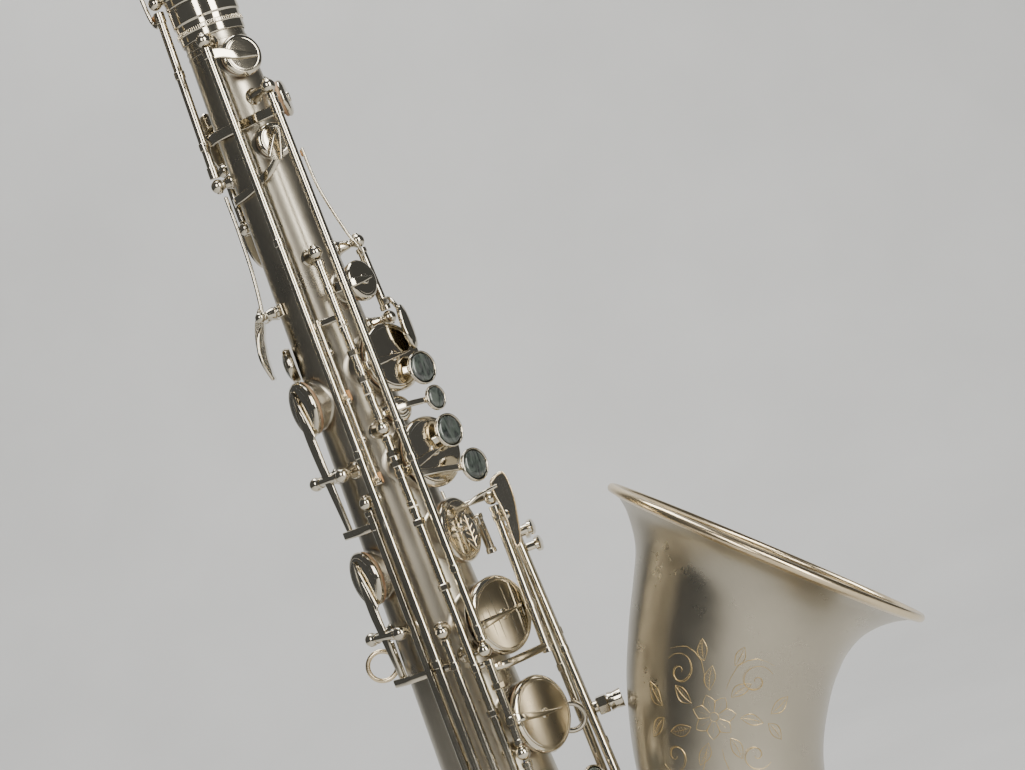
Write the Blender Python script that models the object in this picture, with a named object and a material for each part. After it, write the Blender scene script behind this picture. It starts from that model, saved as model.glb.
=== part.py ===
"""Tenor saxophone with neck and mouthpiece, one object for each loose piece.

The drawing frame is in millimetres: +Z runs up the straight body tube towards the neck, +Y points to
the bell side and +X to the player's right. Its Z axis is the axis of the body tube. The finished
parts are shifted so that the origin is the middle of the strap ring, and scaled to metres.
"""
import bpy
import bmesh
from math import atan2, cos, degrees, pi, radians, sin, sqrt
from mathutils import Matrix, Vector

MM = 0.001

# ---- driving dimensions (millimetres, degrees) ------------------------------------------------
GAP = 0.3                      # space left between touching pieces
WALL = 1.2                     # wall of the sheet metal tubes

BODY_TOP = 690.0
BODY_TOP_RADIUS = 14.0
BODY_TAPER = 0.03              # radius gained for each millimetre down the tube
BOW_JOINT = 92.0               # height of both bow joints
BOW_ARC_Z = 86.0               # height of the centre of the bow's half circle
BOW_RADIUS = 47.5              # centre line of the bow
BELL_Y = 2 * BOW_RADIUS        # axis of the bell where it leaves the bow
CHIMNEY = 2.6                  # height of a tone hole's rim above the tube
RING_CENTRE = Vector((0.0, -33.8, 357.0))

# Bell stations: axis point (y, z), outside radius, forward tilt of the section.
BELL_STATIONS = [
    (95.0, 92.3, 37.0, 0), (95.5, 160.0, 38.8, 3), (98.0, 205.0, 41.2, 8),
    (102.8, 250.8, 44.2, 16), (113.8, 283.3, 47.9, 24), (126.0, 305.2, 51.2, 30),
    (136.8, 319.4, 55.0, 36), (145.1, 328.0, 60.0, 40), (151.0, 335.5, 68.0, 43),
    (154.0, 339.6, 75.0, 44), (155.6, 341.6, 79.0, 44),
]
RIM_BEAD = 2.2                 # radius of the rolled wire in the bell's rim

ROD = 2.15                     # radius of the hinge tubes
BALL = 3.4                     # radius of a post's ball
STEM = 1.7                     # radius of a post's neck
CUP_H = 5.0                    # height of a key cup with its pad
ARM_W = 4.0
ARM_T = 1.8

ROD_SIDES = 6
CUP_SIDES = 12
HOLE_SIDES = 10

STACK_ANGLE = 34.0             # direction the stack's tone holes face, from +Y towards +X
OPEN_UPPER = 0.20              # radians the stack keys stand open
OPEN_LOWER = 0.16

NICKEL = (0.52, 0.48, 0.42)
SATIN = (0.42, 0.39, 0.35)
BRASS = (0.60, 0.44, 0.20)
PEARL = (0.10, 0.11, 0.10)
EBONITE = (0.02, 0.02, 0.02)
CORK = (0.55, 0.38, 0.22)
CANE = (0.75, 0.62, 0.35)


# ---- places on the body ------------------------------------------------------------------------
def tube_radius(z):
    return BODY_TOP_RADIUS + (BODY_TOP - z) * BODY_TAPER


def radial(phi):
    return Vector((sin(radians(phi)), cos(radians(phi)), 0.0))


def tangent(phi):
    return Vector((cos(radians(phi)), -sin(radians(phi)), 0.0))


def at(z, phi, out, side=0.0):
    """Point at height z, `out` along the outward direction phi and `side` along its tangent."""
    return radial(phi) * out + tangent(phi) * side + Vector((0, 0, z))


def on_line(line, z):
    """Point at height z of a straight line given by its two end points."""
    a, b = line
    return a.lerp(b, (z - a.z) / (b.z - a.z))


def line_angle(line, z):
    p = on_line(line, z)
    return degrees(atan2(p.x, p.y))


STACK_LINE = (Vector((30.5, 9.6, 546.0)), Vector((38.5, 9.2, 283.0)))
G_LINE = (Vector((27.4, 17.2, 633.0)), Vector((38.0, 17.0, 350.0)))
LOWER_LINE = (Vector((38.5, 16.2, 350.0)), Vector((45.0, 13.6, 140.0)))
E_LINE = (Vector((27.0, -3.4, 657.0)), Vector((39.0, -7.3, 250.0)))
C_LINE = (Vector((29.1, -10.6, 429.0)), Vector((34.8, -12.7, 225.0)))
BB_LINE = (Vector((36.0, 0.8, 361.0)), Vector((40.9, 0.4, 195.0)))
LOW_B_LINE = (Vector((-3.5, 47.5, 408.0)), Vector((22.0, 56.0, 110.0)))
LOW_BB_LINE = (Vector((-9.0, 48.0, 398.0)), Vector((11.2, 54.7, 172.0)))
LOW_CS_LINE = (Vector((-16.5, 45.0, 398.0)), Vector((-2.0, 47.0, 100.0)))
GS_LEVER_LINE = (Vector((9.0, 43.5, 410.0)), Vector((12.0, 42.5, 336.0)))
GS_LINE = (Vector((-4.0, 34.0, 408.0)), Vector((-4.0, 34.4, 388.0)))
OCTAVE_LINE = (Vector((1.0, -20.3, 686.0)), Vector((1.0, -23.6, 602.0)))
FRONT_F_LINE = (Vector((-2.0, 28.5, 548.0)), Vector((-2.0, 29.4, 512.0)))


# ---- closed solids, each added to one mesh -----------------------------------------------------
def ring_points(centre, axis, across, radius, sides):
    other = axis.cross(across).normalized()
    step = 2 * pi / sides
    return [centre + (across * cos(i * step) + other * sin(i * step)) * radius for i in range(sides)]


def any_across(axis):
    helper = Vector((0, 0, 1)) if abs(axis.z) < 0.9 else Vector((1, 0, 0))
    return axis.cross(helper).normalized()


def new_solid(rings, cap=True):
    """Closed mesh through rings of points; a ring of one point closes an end."""
    bm = bmesh.new()
    rows = [[bm.verts.new(p) for p in ring] for ring in rings]
    for low, high in zip(rows, rows[1:]):
        n = max(len(low), len(high))
        for i in range(n):
            j = (i + 1) % n
            if len(low) == 1:
                bm.faces.new((low[0], high[j], high[i]))
            elif len(high) == 1:
                bm.faces.new((low[i], low[j], high[0]))
            else:
                bm.faces.new((low[i], low[j], high[j], high[i]))
    if cap:
        for row in (rows[0], rows[-1]):
            if len(row) > 2:
                bm.faces.new(row)
    bmesh.ops.recalc_face_normals(bm, faces=bm.faces)
    return bm


def cylinder(a, b, radius, sides=ROD_SIDES, end_radius=None):
    axis = (b - a).normalized()
    across = any_across(axis)
    end = radius if end_radius is None else end_radius
    return new_solid([ring_points(a, axis, across, radius, sides), ring_points(b, axis, across, end, sides)])


def ball(centre, radius, sides=8, rows=4):
    axis, across = Vector((0, 0, 1)), Vector((1, 0, 0))
    rings = [[centre - axis * radius]]
    for i in range(1, rows):
        turn = pi * i / rows
        rings.append(ring_points(centre - axis * radius * cos(turn), axis, across, radius * sin(turn), sides))
    rings.append([centre + axis * radius])
    return new_solid(rings)


def turned(profile, origin, axis, sides, across=None):
    """Solid of revolution from (radius, height) points; radius 0 closes an end."""
    across = across or any_across(axis)
    rings = []
    for radius, height in profile:
        centre = origin + axis * height
        rings.append([centre] if radius == 0 else ring_points(centre, axis, across, radius, sides))
    return new_solid(rings)


def turned_ring(profile, origin, axis, sides):
    """Ring of revolution: the (radius, height) outline closes on itself."""
    across = any_across(axis)
    rings = [ring_points(origin + axis * h, axis, across, r, sides) for r, h in profile]
    return closed_loop(rings)


def closed_loop(rings):
    bm = bmesh.new()
    rows = [[bm.verts.new(p) for p in ring] for ring in rings]
    for low, high in zip(rows, rows[1:] + rows[:1]):
        for i in range(len(low)):
            j = (i + 1) % len(low)
            bm.faces.new((low[i], low[j], high[j], high[i]))
    bmesh.ops.recalc_face_normals(bm, faces=bm.faces)
    return bm


def path_frames(points):
    """Direction and a slowly turning sideways vector at each point of a path."""
    frames = []
    across = None
    for i, p in enumerate(points):
        before = points[max(i - 1, 0)]
        after = points[min(i + 1, len(points) - 1)]
        axis = (after - before).normalized()
        across = any_across(axis) if across is None else (across - axis * across.dot(axis)).normalized()
        frames.append((p, axis, across))
    return frames


def pipe(points, radii, sides=ROD_SIDES):
    if not isinstance(radii, (list, tuple)):
        radii = [radii] * len(points)
    rings = [ring_points(p, axis, across, r, sides)
             for (p, axis, across), r in zip(path_frames(points), radii)]
    return new_solid(rings)


def strap(points, outs, width=ARM_W, thick=ARM_T):
    """Flat bar along a path; `outs` gives the direction its flat side faces at each point."""
    if isinstance(outs, Vector):
        outs = [outs] * len(points)
    widths = width if isinstance(width, (list, tuple)) else [width] * len(points)
    rings = []
    for (p, axis, _), out, wide in zip(path_frames(points), outs, widths):
        side = axis.cross(out).normalized()
        up = side.cross(axis).normalized()
        rings.append([p + side * wide / 2 + up * thick / 2, p - side * wide / 2 + up * thick / 2,
                      p - side * wide / 2 - up * thick / 2, p + side * wide / 2 - up * thick / 2])
    return new_solid(rings)


def plate(outline, out, thick):
    """Flat plate from points in order round its edge, thick along `out`."""
    return new_solid([[p - out * thick / 2 for p in outline], [p + out * thick / 2 for p in outline]])


def oval_plate(centre, out, long_axis, length, width, thick, sides=12):
    side = out.cross(long_axis).normalized()
    step = 2 * pi / sides
    outline = [centre + long_axis * (length / 2 * cos(i * step)) + side * (width / 2 * sin(i * step))
               for i in range(sides)]
    return plate(outline, out, thick)


# ---- nodes ---------------------------------------------------------------------------------------
ROOT = None
NODES = {}
JOINTS = {}


def mesh_object(bm, name):
    mesh = bpy.data.meshes.new(name)
    bm.to_mesh(mesh)
    bm.free()
    obj = bpy.data.objects.new(name, mesh)
    bpy.context.scene.collection.objects.link(obj)
    return obj


def material(name, colour, roughness, metallic):
    mat = bpy.data.materials.new(name)
    mat.use_nodes = True
    shader = mat.node_tree.nodes["Principled BSDF"]
    shader.inputs["Base Color"].default_value = (*colour, 1.0)
    shader.inputs["Roughness"].default_value = roughness
    shader.inputs["Metallic"].default_value = metallic
    mat.diffuse_color = (*colour, 1.0)
    return mat


def node(name, solids, colour=NICKEL, cuts=(), roughness=0.22, metallic=1.0, origin=None):
    """One named piece: the union of its solids less its cuts, with its origin at a joint if it moves."""
    obj = mesh_object(solids[0], name)
    helpers = []
    for kind, extra in (("UNION", solids[1:]), ("DIFFERENCE", list(cuts))):
        if not extra:
            continue
        group = bpy.data.collections.new(name + kind)
        for i, bm in enumerate(extra):
            tool = mesh_object(bm, f"{name}_{kind}_{i}")
            bpy.context.scene.collection.objects.unlink(tool)
            group.objects.link(tool)
            helpers.append(tool)
        boolean = obj.modifiers.new(kind, "BOOLEAN")
        boolean.operation = kind
        boolean.solver = "EXACT"
        boolean.operand_type = "COLLECTION"
        boolean.collection = group
    if helpers:
        bpy.context.view_layer.update()
        shape = bpy.data.meshes.new_from_object(obj.evaluated_get(bpy.context.evaluated_depsgraph_get()))
        obj.modifiers.clear()
        obj.data = shape
        for tool in helpers:
            bpy.data.objects.remove(tool)
        for group in [c for c in bpy.data.collections if not c.objects]:
            bpy.data.collections.remove(group)
    place = origin or Vector((0, 0, 0))
    obj.data.transform(Matrix.Scale(MM, 4) @ Matrix.Translation(-place))
    tidy_mesh(obj.data)
    obj.parent = ROOT
    obj.location = place * MM
    obj.data.materials.clear()
    obj.data.materials.append(material(name, colour, roughness, metallic))
    NODES[name] = obj
    return obj


def tidy_mesh(mesh):
    bm = bmesh.new()
    bm.from_mesh(mesh)
    bmesh.ops.remove_doubles(bm, verts=bm.verts, dist=0.000002)
    bmesh.ops.dissolve_degenerate(bm, dist=0.000002, edges=bm.edges)
    bmesh.ops.triangulate(bm, faces=bm.faces)
    bm.to_mesh(mesh)
    bm.free()
    mesh.shade_smooth()
    mesh.set_sharp_from_angle(angle=radians(35))


def turn_solids(solids, pivot, axis, angle):
    spin = Matrix.Translation(pivot) @ Matrix.Rotation(angle, 4, axis) @ Matrix.Translation(-pivot)
    for bm in solids:
        bm.transform(spin)


def hinged(name, line, solids, low, high, opened=0.0, colour=NICKEL, cuts=(), **looks):
    """A piece that turns about a line; `opened` turns it from its drawn place to its rest place."""
    pivot = line[0].lerp(line[1], 0.5)
    axis = (line[1] - line[0]).normalized()
    if opened:
        turn_solids(list(solids) + list(cuts), pivot, axis, opened)
    JOINTS[name] = dict(pivot=pivot, axis=axis, low=low, high=high)
    return node(name, solids, colour, cuts, origin=pivot, **looks)


# ---- tone holes and key parts -------------------------------------------------------------------
class Hole:
    """A tone hole: its centre on the tube's axis, outward direction, radius and rim height."""

    def __init__(self, name, centre, out, along, tube, radius, cup, rim=None):
        self.name, self.centre, self.out, self.along = name, centre, out, along
        self.side = out.cross(along).normalized()
        self.tube, self.radius, self.cup = tube, radius, cup
        self.rim = tube + CHIMNEY if rim is None else rim
        self.seat = self.rim + GAP

    def point(self, out, side=0.0, up=0.0):
        return self.centre + self.out * out + self.side * side + self.along * up

    def chimney(self):
        foot = sqrt(max(self.tube ** 2 - (self.radius + 1.2) ** 2, 1.0)) - 1.0
        return cylinder(self.point(foot), self.point(self.rim), self.radius + 1.2, HOLE_SIDES)

    def bore(self):
        return cylinder(self.point(self.tube * 0.3), self.point(self.rim + 2), self.radius, HOLE_SIDES)

    def key_cup(self, height=CUP_H, chamfer=1.4):
        profile = [(0, 0), (self.cup, 0), (self.cup, height - chamfer), (self.cup - chamfer, height),
                   (0, height)]
        return turned(profile, self.point(self.seat), self.out, CUP_SIDES, self.along)

    def arm(self, hinge, height=CUP_H, width=ARM_W, lift=0.4):
        """Bar from the hinge over the edge of the cup to its middle."""
        away = hinge - self.point(0)
        side = away.dot(self.side)
        sign = 1 if side > 0 else -1
        up = away.dot(self.along)
        reach = self.cup - 1.5
        top = self.seat + height + lift
        points = [hinge, self.point(self.seat + height * 0.72, sign * (self.cup + 1.0), up),
                  self.point(top, sign * (reach - 2.0), up * 0.7), self.point(top, 0, 0)]
        return strap(points, self.out, width)


def body_hole(name, z, phi, radius, cup):
    return Hole(name, Vector((0, 0, z)), radial(phi), Vector((0, 0, 1)), tube_radius(z), radius, cup)


STACK = {
    "c": body_hole("c", 531, 29, 7.0, 10.0), "b": body_hole("b", 492, STACK_ANGLE, 13.5, 16.7),
    "bis": body_hole("bis", 468, 48, 4.5, 6.4), "a": body_hole("a", 444, STACK_ANGLE, 14.2, 17.2),
    "g": body_hole("g", 361, STACK_ANGLE, 16.0, 19.0), "f_sharp": body_hole("f_sharp", 311, STACK_ANGLE, 15.6, 18.6),
    "f": body_hole("f", 259, STACK_ANGLE, 16.6, 19.6), "e": body_hole("e", 204, STACK_ANGLE, 17.8, 21.0),
    "d": body_hole("d", 146, STACK_ANGLE, 18.4, 21.6),
}
G_SHARP = body_hole("g_sharp", 405, 30, 13.2, 16.0)
HIGH_E = body_hole("high_e", 649.5, 60, 7.0, 10.2)
PALM_D = body_hole("palm_d", 606.5, 62, 6.2, 8.8)
PALM_EB = body_hole("palm_eb", 626, 3, 6.2, 9.2)
PALM_F = body_hole("palm_f", 653, -76, 5.6, 8.4)
SIDE_C = body_hole("side_c", 484, 152, 10.6, 13.6)
SIDE_BB = body_hole("side_bb", 399, 150, 10.6, 13.6)
LOW_CS = body_hole("low_c_sharp", 121, -45, 15.4, 18.4)


def bow_point(angle):
    """Centre of the bow's bore, `angle` degrees round from the body side."""
    a = radians(angle)
    return Vector((0, BOW_RADIUS * (1 - cos(a)), BOW_ARC_Z - BOW_RADIUS * sin(a)))


def bow_tube(angle):
    return tube_radius(BOW_JOINT) + (BELL_STATIONS[0][2] - tube_radius(BOW_JOINT)) * angle / 180


def bow_hole(name, angle, radius, cup):
    a = radians(angle)
    return Hole(name, bow_point(angle), Vector((1, 0, 0)), Vector((0, -sin(a), cos(a))), bow_tube(angle),
                radius, cup)


LOW_EB = bow_hole("low_eb", 20, 13.0, 16.4)
LOW_C = bow_hole("low_c", 82, 16.5, 20.0)


def bell_at(z):
    """Bell axis y, outside radius and tilt at height z."""
    for low, high in zip(BELL_STATIONS, BELL_STATIONS[1:]):
        if z <= high[1]:
            f = (z - low[1]) / (high[1] - low[1])
            return [a + (b - a) * f for a, b in zip(low, high)]
    return list(BELL_STATIONS[-1])


def bell_hole(name, z, radius, cup, back=15):
    y, _, tube, tilt = bell_at(z)
    out = Vector((cos(radians(back)), -sin(radians(back)), 0))
    return Hole(name, Vector((0, y, z)), out, Vector((0, 0, 1)), tube, radius, cup, rim=tube + 3.2)


LOW_B = bell_hole("low_b", 126, 20.5, 24.0)
LOW_BB = bell_hole("low_bb", 186, 21.0, 24.5)

BODY_HOLES = list(STACK.values()) + [G_SHARP, HIGH_E, PALM_D, PALM_EB, PALM_F, SIDE_C, SIDE_BB, LOW_CS]


# ---- posts ----------------------------------------------------------------------------------------
def post(centre, foot, radius=BALL, sides=8):
    """Ball on a tapered neck that runs down to a foot point."""
    return [ball(centre, radius, sides), cylinder(foot, centre, STEM + 0.9, 6, STEM)]


def radial_post(line, z, lean=0.0):
    """Post under a hinge line; its foot is sunk in the wall, `lean` degrees further round the tube."""
    p = on_line(line, z)
    return post(p, at(z, line_angle(line, z) + lean, tube_radius(z) - WALL / 2))


def rib(line, high, low, width=6.0):
    """Long plate that follows the body under a hinge line, just clear of the tube."""
    points = []
    for z in (high, (high + low) / 2, low):
        phi = line_angle(line, z)
        points.append(at(z, phi, tube_radius(z) + GAP + 0.75))
    outs = [radial(line_angle(line, z)) for z in (high, (high + low) / 2, low)]
    return strap(points, outs, width, 1.5)


def hinge_tube(line, high, low, radius=ROD):
    return cylinder(on_line(line, high), on_line(line, low), radius)


# ---- tubes of the horn ----------------------------------------------------------------------------
def body_tube():
    """Conical tube with drawn tone holes and the posts soldered straight on it."""
    low = BOW_JOINT + 0.2
    outer = [(tube_radius(low), low), (tube_radius(BODY_TOP), BODY_TOP)]
    inner = [(tube_radius(BODY_TOP) - WALL, BODY_TOP), (tube_radius(low) - WALL, low)]
    wall = turned_ring(outer + inner, Vector(), Vector((0, 0, 1)), 24)
    solids = [wall] + [h.chimney() for h in BODY_HOLES]
    solids += radial_post(G_LINE, 630.0)
    solids += radial_post(E_LINE, 660.6) + radial_post(E_LINE, 246.2)
    solids += radial_post(C_LINE, 432.8) + radial_post(C_LINE, 221.2)
    solids += radial_post(BB_LINE, 364.8) + radial_post(BB_LINE, 191.2)
    solids += radial_post(OCTAVE_LINE, 598.2)
    for z in (549.6, 462.5):
        solids += radial_post(STACK_LINE, z)
    for z, lean in ((350.4, 7), (300.2, 0), (229.1, 0), (137.4, 0)):
        solids += radial_post(LOWER_LINE, z, lean)
    for z in (550.2, 510.8):
        solids += radial_post(FRONT_F_LINE, z)
    for spec in ROCKERS.values():
        solids += rocker_posts(spec)
    bores = [h.bore() for h in BODY_HOLES]
    node("body_tube", solids, SATIN, bores, roughness=0.35)


def swept_shell(stations, sides):
    """Open pipe through (centre, axis, across, outside radius) stations."""
    outer = [ring_points(c, a, x, r, sides) for c, a, x, r in stations]
    inner = [ring_points(c, a, x, r - WALL, sides) for c, a, x, r in reversed(stations)]
    return closed_loop(outer + inner)


def bow():
    x = Vector((1, 0, 0))
    stations = [(Vector((0, 0, BOW_JOINT - 0.2)), Vector((0, 0, -1)), x, bow_tube(0))]
    steps = 9
    for i in range(steps + 1):
        angle = 180 * i / steps
        a = radians(angle)
        stations.append((bow_point(angle), Vector((0, sin(a), -cos(a))), x, bow_tube(angle)))
    stations.append((Vector((0, BELL_Y, BOW_JOINT - 0.2)), Vector((0, 0, 1)), x, bow_tube(180)))
    holes = [LOW_EB, LOW_C]
    node("bow", [swept_shell(stations, 18)] + [h.chimney() for h in holes], SATIN,
         [h.bore() for h in holes], roughness=0.35)


def bell():
    x = Vector((1, 0, 0))
    stations = []
    for y, z, radius, tilt in BELL_STATIONS:
        stations.append((Vector((0, y, z)), Vector((0, sin(radians(tilt)), cos(radians(tilt)))), x, radius))
    centre, axis, across, radius = stations[-1]
    bead = [ring_points(centre + axis * RIM_BEAD * sin(t), axis, across, radius + RIM_BEAD * cos(t), 24)
            for t in [2 * pi * i / 5 for i in range(5)]]
    holes = [LOW_B, LOW_BB]
    node("bell", [swept_shell(stations, 24), closed_loop(bead)] + [h.chimney() for h in holes], SATIN,
         [h.bore() for h in holes], roughness=0.35)


def joint_rings():
    """Collars over the two joints of the bow and the receiver at the top of the body."""
    up = Vector((0, 0, 1))
    for name, y, bore in (("body_bow_ring", 0.0, tube_radius(BOW_JOINT)), ("bell_bow_ring", BELL_Y, 37.1)):
        inside = bore + GAP + 0.6
        outline = [(inside, -6), (inside + 1.6, -6), (inside + 2.4, -3), (inside + 2.4, 3),
                   (inside + 1.6, 6), (inside, 6)]
        node(name, [turned_ring(outline, Vector((0, y, BOW_JOINT)), up, 20)])
    sleeve = [(15.1, 664.5), (15.9, 664.5), (16.1, 674), (16.6, 674.4), (16.6, 687.2), (17.2, 688),
              (17.2, 704), (15.1, 704)]
    ear = strap([Vector((-15.9, 0, 696)), Vector((-25.0, 0, 696))], up, 9.0, 11.0)
    screw_hole = cylinder(Vector((-21.5, -9, 696)), Vector((-21.5, 9, 696)), 1.9, 10)
    slit = strap([Vector((-10, 0, 699.3)), Vector((-27, 0, 699.3))], up, 1.2, 16.0)
    octave_post = post(on_line(OCTAVE_LINE, 690.0), Vector((1.0, -16.4, 692.0)))
    node("neck_receiver", [turned_ring(sleeve, Vector(), up, 18), ear] + octave_post, cuts=[screw_hole, slit])


def bell_brace():
    """Stay between the body and the bell, with its ring, nut and feet."""
    z, x = 301.0, -7.0
    body_y = sqrt(tube_radius(z) ** 2 - x ** 2) + GAP
    foot = oval_plate(Vector((x, body_y + 2.6, z)), Vector((0, 1, 0)), Vector((0, 0, 1)), 26, 11, 2.4)
    ring = turned_ring([(5.2, -2), (8.0, -2), (8.0, 2), (5.2, 2)], Vector((x, body_y + 16.0, z)),
                       Vector((1, 0, 0)), 14)
    stub = cylinder(Vector((x, body_y + 2.5, z)), Vector((x, body_y + 9.5, z)), 3.0, 10)
    bar = cylinder(Vector((x, body_y + 23, z)), Vector((x, 61.0, z)), 3.0, 10)
    nut = cylinder(Vector((x, 55.0, z)), Vector((x, 60.0, z)), 4.4, 6)
    pad = cylinder(Vector((x, 60.5, z)), Vector((x, 67.2, z)), 4.8, 12)
    node("bell_brace", [foot, ring, stub, bar, nut, pad])


def strap_ring():
    centre = RING_CENTRE
    loop = turned_ring([(5.9, -1.2), (8.2, -1.2), (8.2, 1.2), (5.9, 1.2)], centre, Vector((1, 0, 0)), 18)
    z = centre.z
    base = oval_plate(Vector((0, -tube_radius(z) - GAP - 1.0, z)), Vector((0, -1, 0)), Vector((0, 0, 1)),
                      19, 8, 1.6)
    neck = cylinder(Vector((0, -tube_radius(z) - 1.0, z)), Vector((0, -27.4, z)), 2.2, 8)
    node("strap_ring", [loop, base, neck])


def thumb_pieces():
    """Thumb rest of the left hand and hook of the right hand."""
    z = 506.0
    surface = -tube_radius(z) - GAP
    back = Vector((0, -1, 0))
    profile = [(0, 0), (8.0, 0), (9.0, 2.2), (8.4, 4.2), (0, 5.6)]
    node("thumb_rest", [turned(profile, Vector((0, surface - 0.4, z)), back, 14)])
    z = 242.0
    surface = -tube_radius(z) - GAP
    foot = oval_plate(Vector((0, surface - 1.0, z)), back, Vector((0, 0, 1)), 30, 12, 1.6)
    route = [Vector((0, surface - 0.6, z + 6)), Vector((0, surface - 9, z + 8)),
             Vector((0, surface - 17, z + 5)), Vector((0, surface - 22, z - 3)),
             Vector((0, surface - 23, z - 12))]
    outs = [Vector((0, 0, 1)), Vector((0, -0.2, 1)), Vector((0, -0.7, 0.7)), back, back]
    node("thumb_hook", [foot, strap(route, outs, 11.0, 2.2)])


# ---- stack keys -----------------------------------------------------------------------------------
PEARL_R = 7.0
PEARL_SEAT_R = 8.2
PEARLS = {}


def pearl_seat(name, hole, z, side, out, radius=PEARL_SEAT_R):
    """Cup that holds a finger button; the button itself is a piece of its own."""
    base = Vector((0, 0, z)) + hole.out * out + hole.side * side
    PEARLS[name] = (base, hole.out, radius - 1.2)
    return turned([(0, 0), (radius - 1.4, 0), (radius, 1.0), (radius, 2.6), (radius - 1.0, 2.6),
                   (radius - 1.0, 1.4), (0, 1.4)], base, hole.out, 10, hole.along)


def pearl(name, place, spin):
    """Mother-of-pearl button resting in its seat."""
    base, out, radius = place
    profile = [(0, 1.7), (radius - 0.3, 1.7), (radius - 0.3, 2.6), (radius - 1.4, 3.5), (0, 3.9)]
    solid = turned(profile, base, out, 10)
    pivot, axis, angle = spin
    turn_solids([solid], pivot, axis, angle)
    node(name, [solid], PEARL, roughness=0.25, metallic=0.0)


def seat_bar(hinge, seat, out, rise=1.2, width=3.4):
    """Bar from a hinge tube up to the underside of a button's seat."""
    low, high = hinge, seat + out * 0.4
    knee = low.lerp(high, 0.25) + out * rise
    return strap([low, knee, high], out, width, 1.8)


def opening(line, hole, amount):
    """Signed turn about the line that lifts the hole's cup by `amount` radians."""
    axis = (line[1] - line[0]).normalized()
    pivot = line[0].lerp(line[1], 0.5)
    lift = axis.cross(hole.point(hole.seat) - pivot).dot(hole.out)
    return amount if lift > 0 else -amount


def stack_key(name, line, hole, high, low, arm_z, amount, extra=(), buttons=()):
    """Open-standing key: drawn closed on its hole, then swung open about its hinge line."""
    turn = opening(line, hole, amount)
    solids = [hinge_tube(line, high, low), hole.key_cup(), hole.arm(on_line(line, arm_z))]
    solids += list(extra)
    low_end, high_end = (0.0, -turn) if turn < 0 else (-turn, 0.0)
    hinged(name, line, solids, low_end, high_end, turn)
    pivot = line[0].lerp(line[1], 0.5)
    axis = (line[1] - line[0]).normalized()
    for button in buttons:
        pearl("pearl_" + button, PEARLS[button], (pivot, axis, turn))


def drawn_place(line, hole, amount, point):
    """Where a point of the open rest pose lies on the key as it is drawn closed."""
    pivot = line[0].lerp(line[1], 0.5)
    axis = (line[1] - line[0]).normalized()
    return pivot + Matrix.Rotation(-opening(line, hole, amount), 3, axis) @ (point - pivot)


def stack_button(name, line, hole, z, side, out, arm_z, amount, over=None, rise=1.2):
    """Seat and its bar; side and out are where the seat stands when the key rests open."""
    rest = hole.out * out + hole.side * side + Vector((0, 0, z))
    place = drawn_place(line, hole, amount, rest)
    level = place - Vector((0, 0, place.z))
    seat = pearl_seat(name, hole, z, level.dot(hole.side), level.dot(hole.out))
    start = on_line(line, arm_z) if over is None else over
    return [seat, seat_bar(start, place, hole.out, rise)]


def upper_stack():
    b, a, c, bis = STACK["b"], STACK["a"], STACK["c"], STACK["bis"]
    bar = [Vector((27.6, -1.4, 520)), Vector((29.2, -1.6, 480)), Vector((30.6, -1.8, 440))]
    turn = opening(STACK_LINE, c, 0.14)
    pivot = STACK_LINE[0].lerp(STACK_LINE[1], 0.5)
    axis = (STACK_LINE[1] - STACK_LINE[0]).normalized()
    bar = [pivot + Matrix.Rotation(-turn, 3, axis) @ (p - pivot) for p in bar]
    foot = strap([on_line(STACK_LINE, 518), bar[0] + Vector((0, 0, -2))], Vector((1, 0, 0)), 3.4, 1.8)
    stack_key("key_c", STACK_LINE, c, 545.6, 513.5, 531, 0.14, [pipe(bar, 1.05, 6), foot])
    stack_key("key_b", STACK_LINE, b, 513.0, 479.8, 492, OPEN_UPPER,
              stack_button("b", STACK_LINE, b, 482.4, -7.5, 36.6, 484, OPEN_UPPER,
                           over=b.point(b.seat + CUP_H - 0.5, -2, -8)), ["b"])
    stack_key("key_bis", STACK_LINE, bis, 479.3, 466.4, 470, 0.12,
              bis_button(bis), ["bis"])
    stack_key("key_a", STACK_LINE, a, 458.6, 424.0, 440, OPEN_UPPER,
              stack_button("a", STACK_LINE, a, 450.4, -7.5, 38.0, 448, OPEN_UPPER,
                           over=a.point(a.seat + CUP_H - 0.5, -2, 4)), ["a"])
    link = STACK_LINE
    arm = strap([on_line(link, 344), on_line(link, 344) + at(0, STACK_ANGLE, 3.2, -2.6)],
                Vector((0, 0, 1)), 3.0, 3.0)
    hinged("stack_link", link, [hinge_tube(link, 423.4, 286.0), arm], -0.14, 0.0)


def bis_button(hole):
    """The bis key's button stands between the B and A buttons and faces as they do."""
    like = STACK["a"]
    rest = like.out * 37.2 + like.side * -8.0 + Vector((0, 0, 467.0))
    place = drawn_place(STACK_LINE, hole, 0.12, rest)
    PEARLS["bis"] = (place, like.out, 5.2)
    seat = turned([(0, 0), (5.0, 0), (6.2, 1.0), (6.2, 2.4), (5.4, 2.4), (5.4, 1.4), (0, 1.4)],
                  place, like.out, 12, like.along)
    hinge = on_line(STACK_LINE, 468.4)
    under = hinge + like.side * -5.4 + like.out * 2.4
    bar = strap([hinge, under, under + like.side * -10 + like.out * 5.0, place + like.out * 0.4],
                like.out, 3.0, 1.6)
    return [seat, bar]


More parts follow.
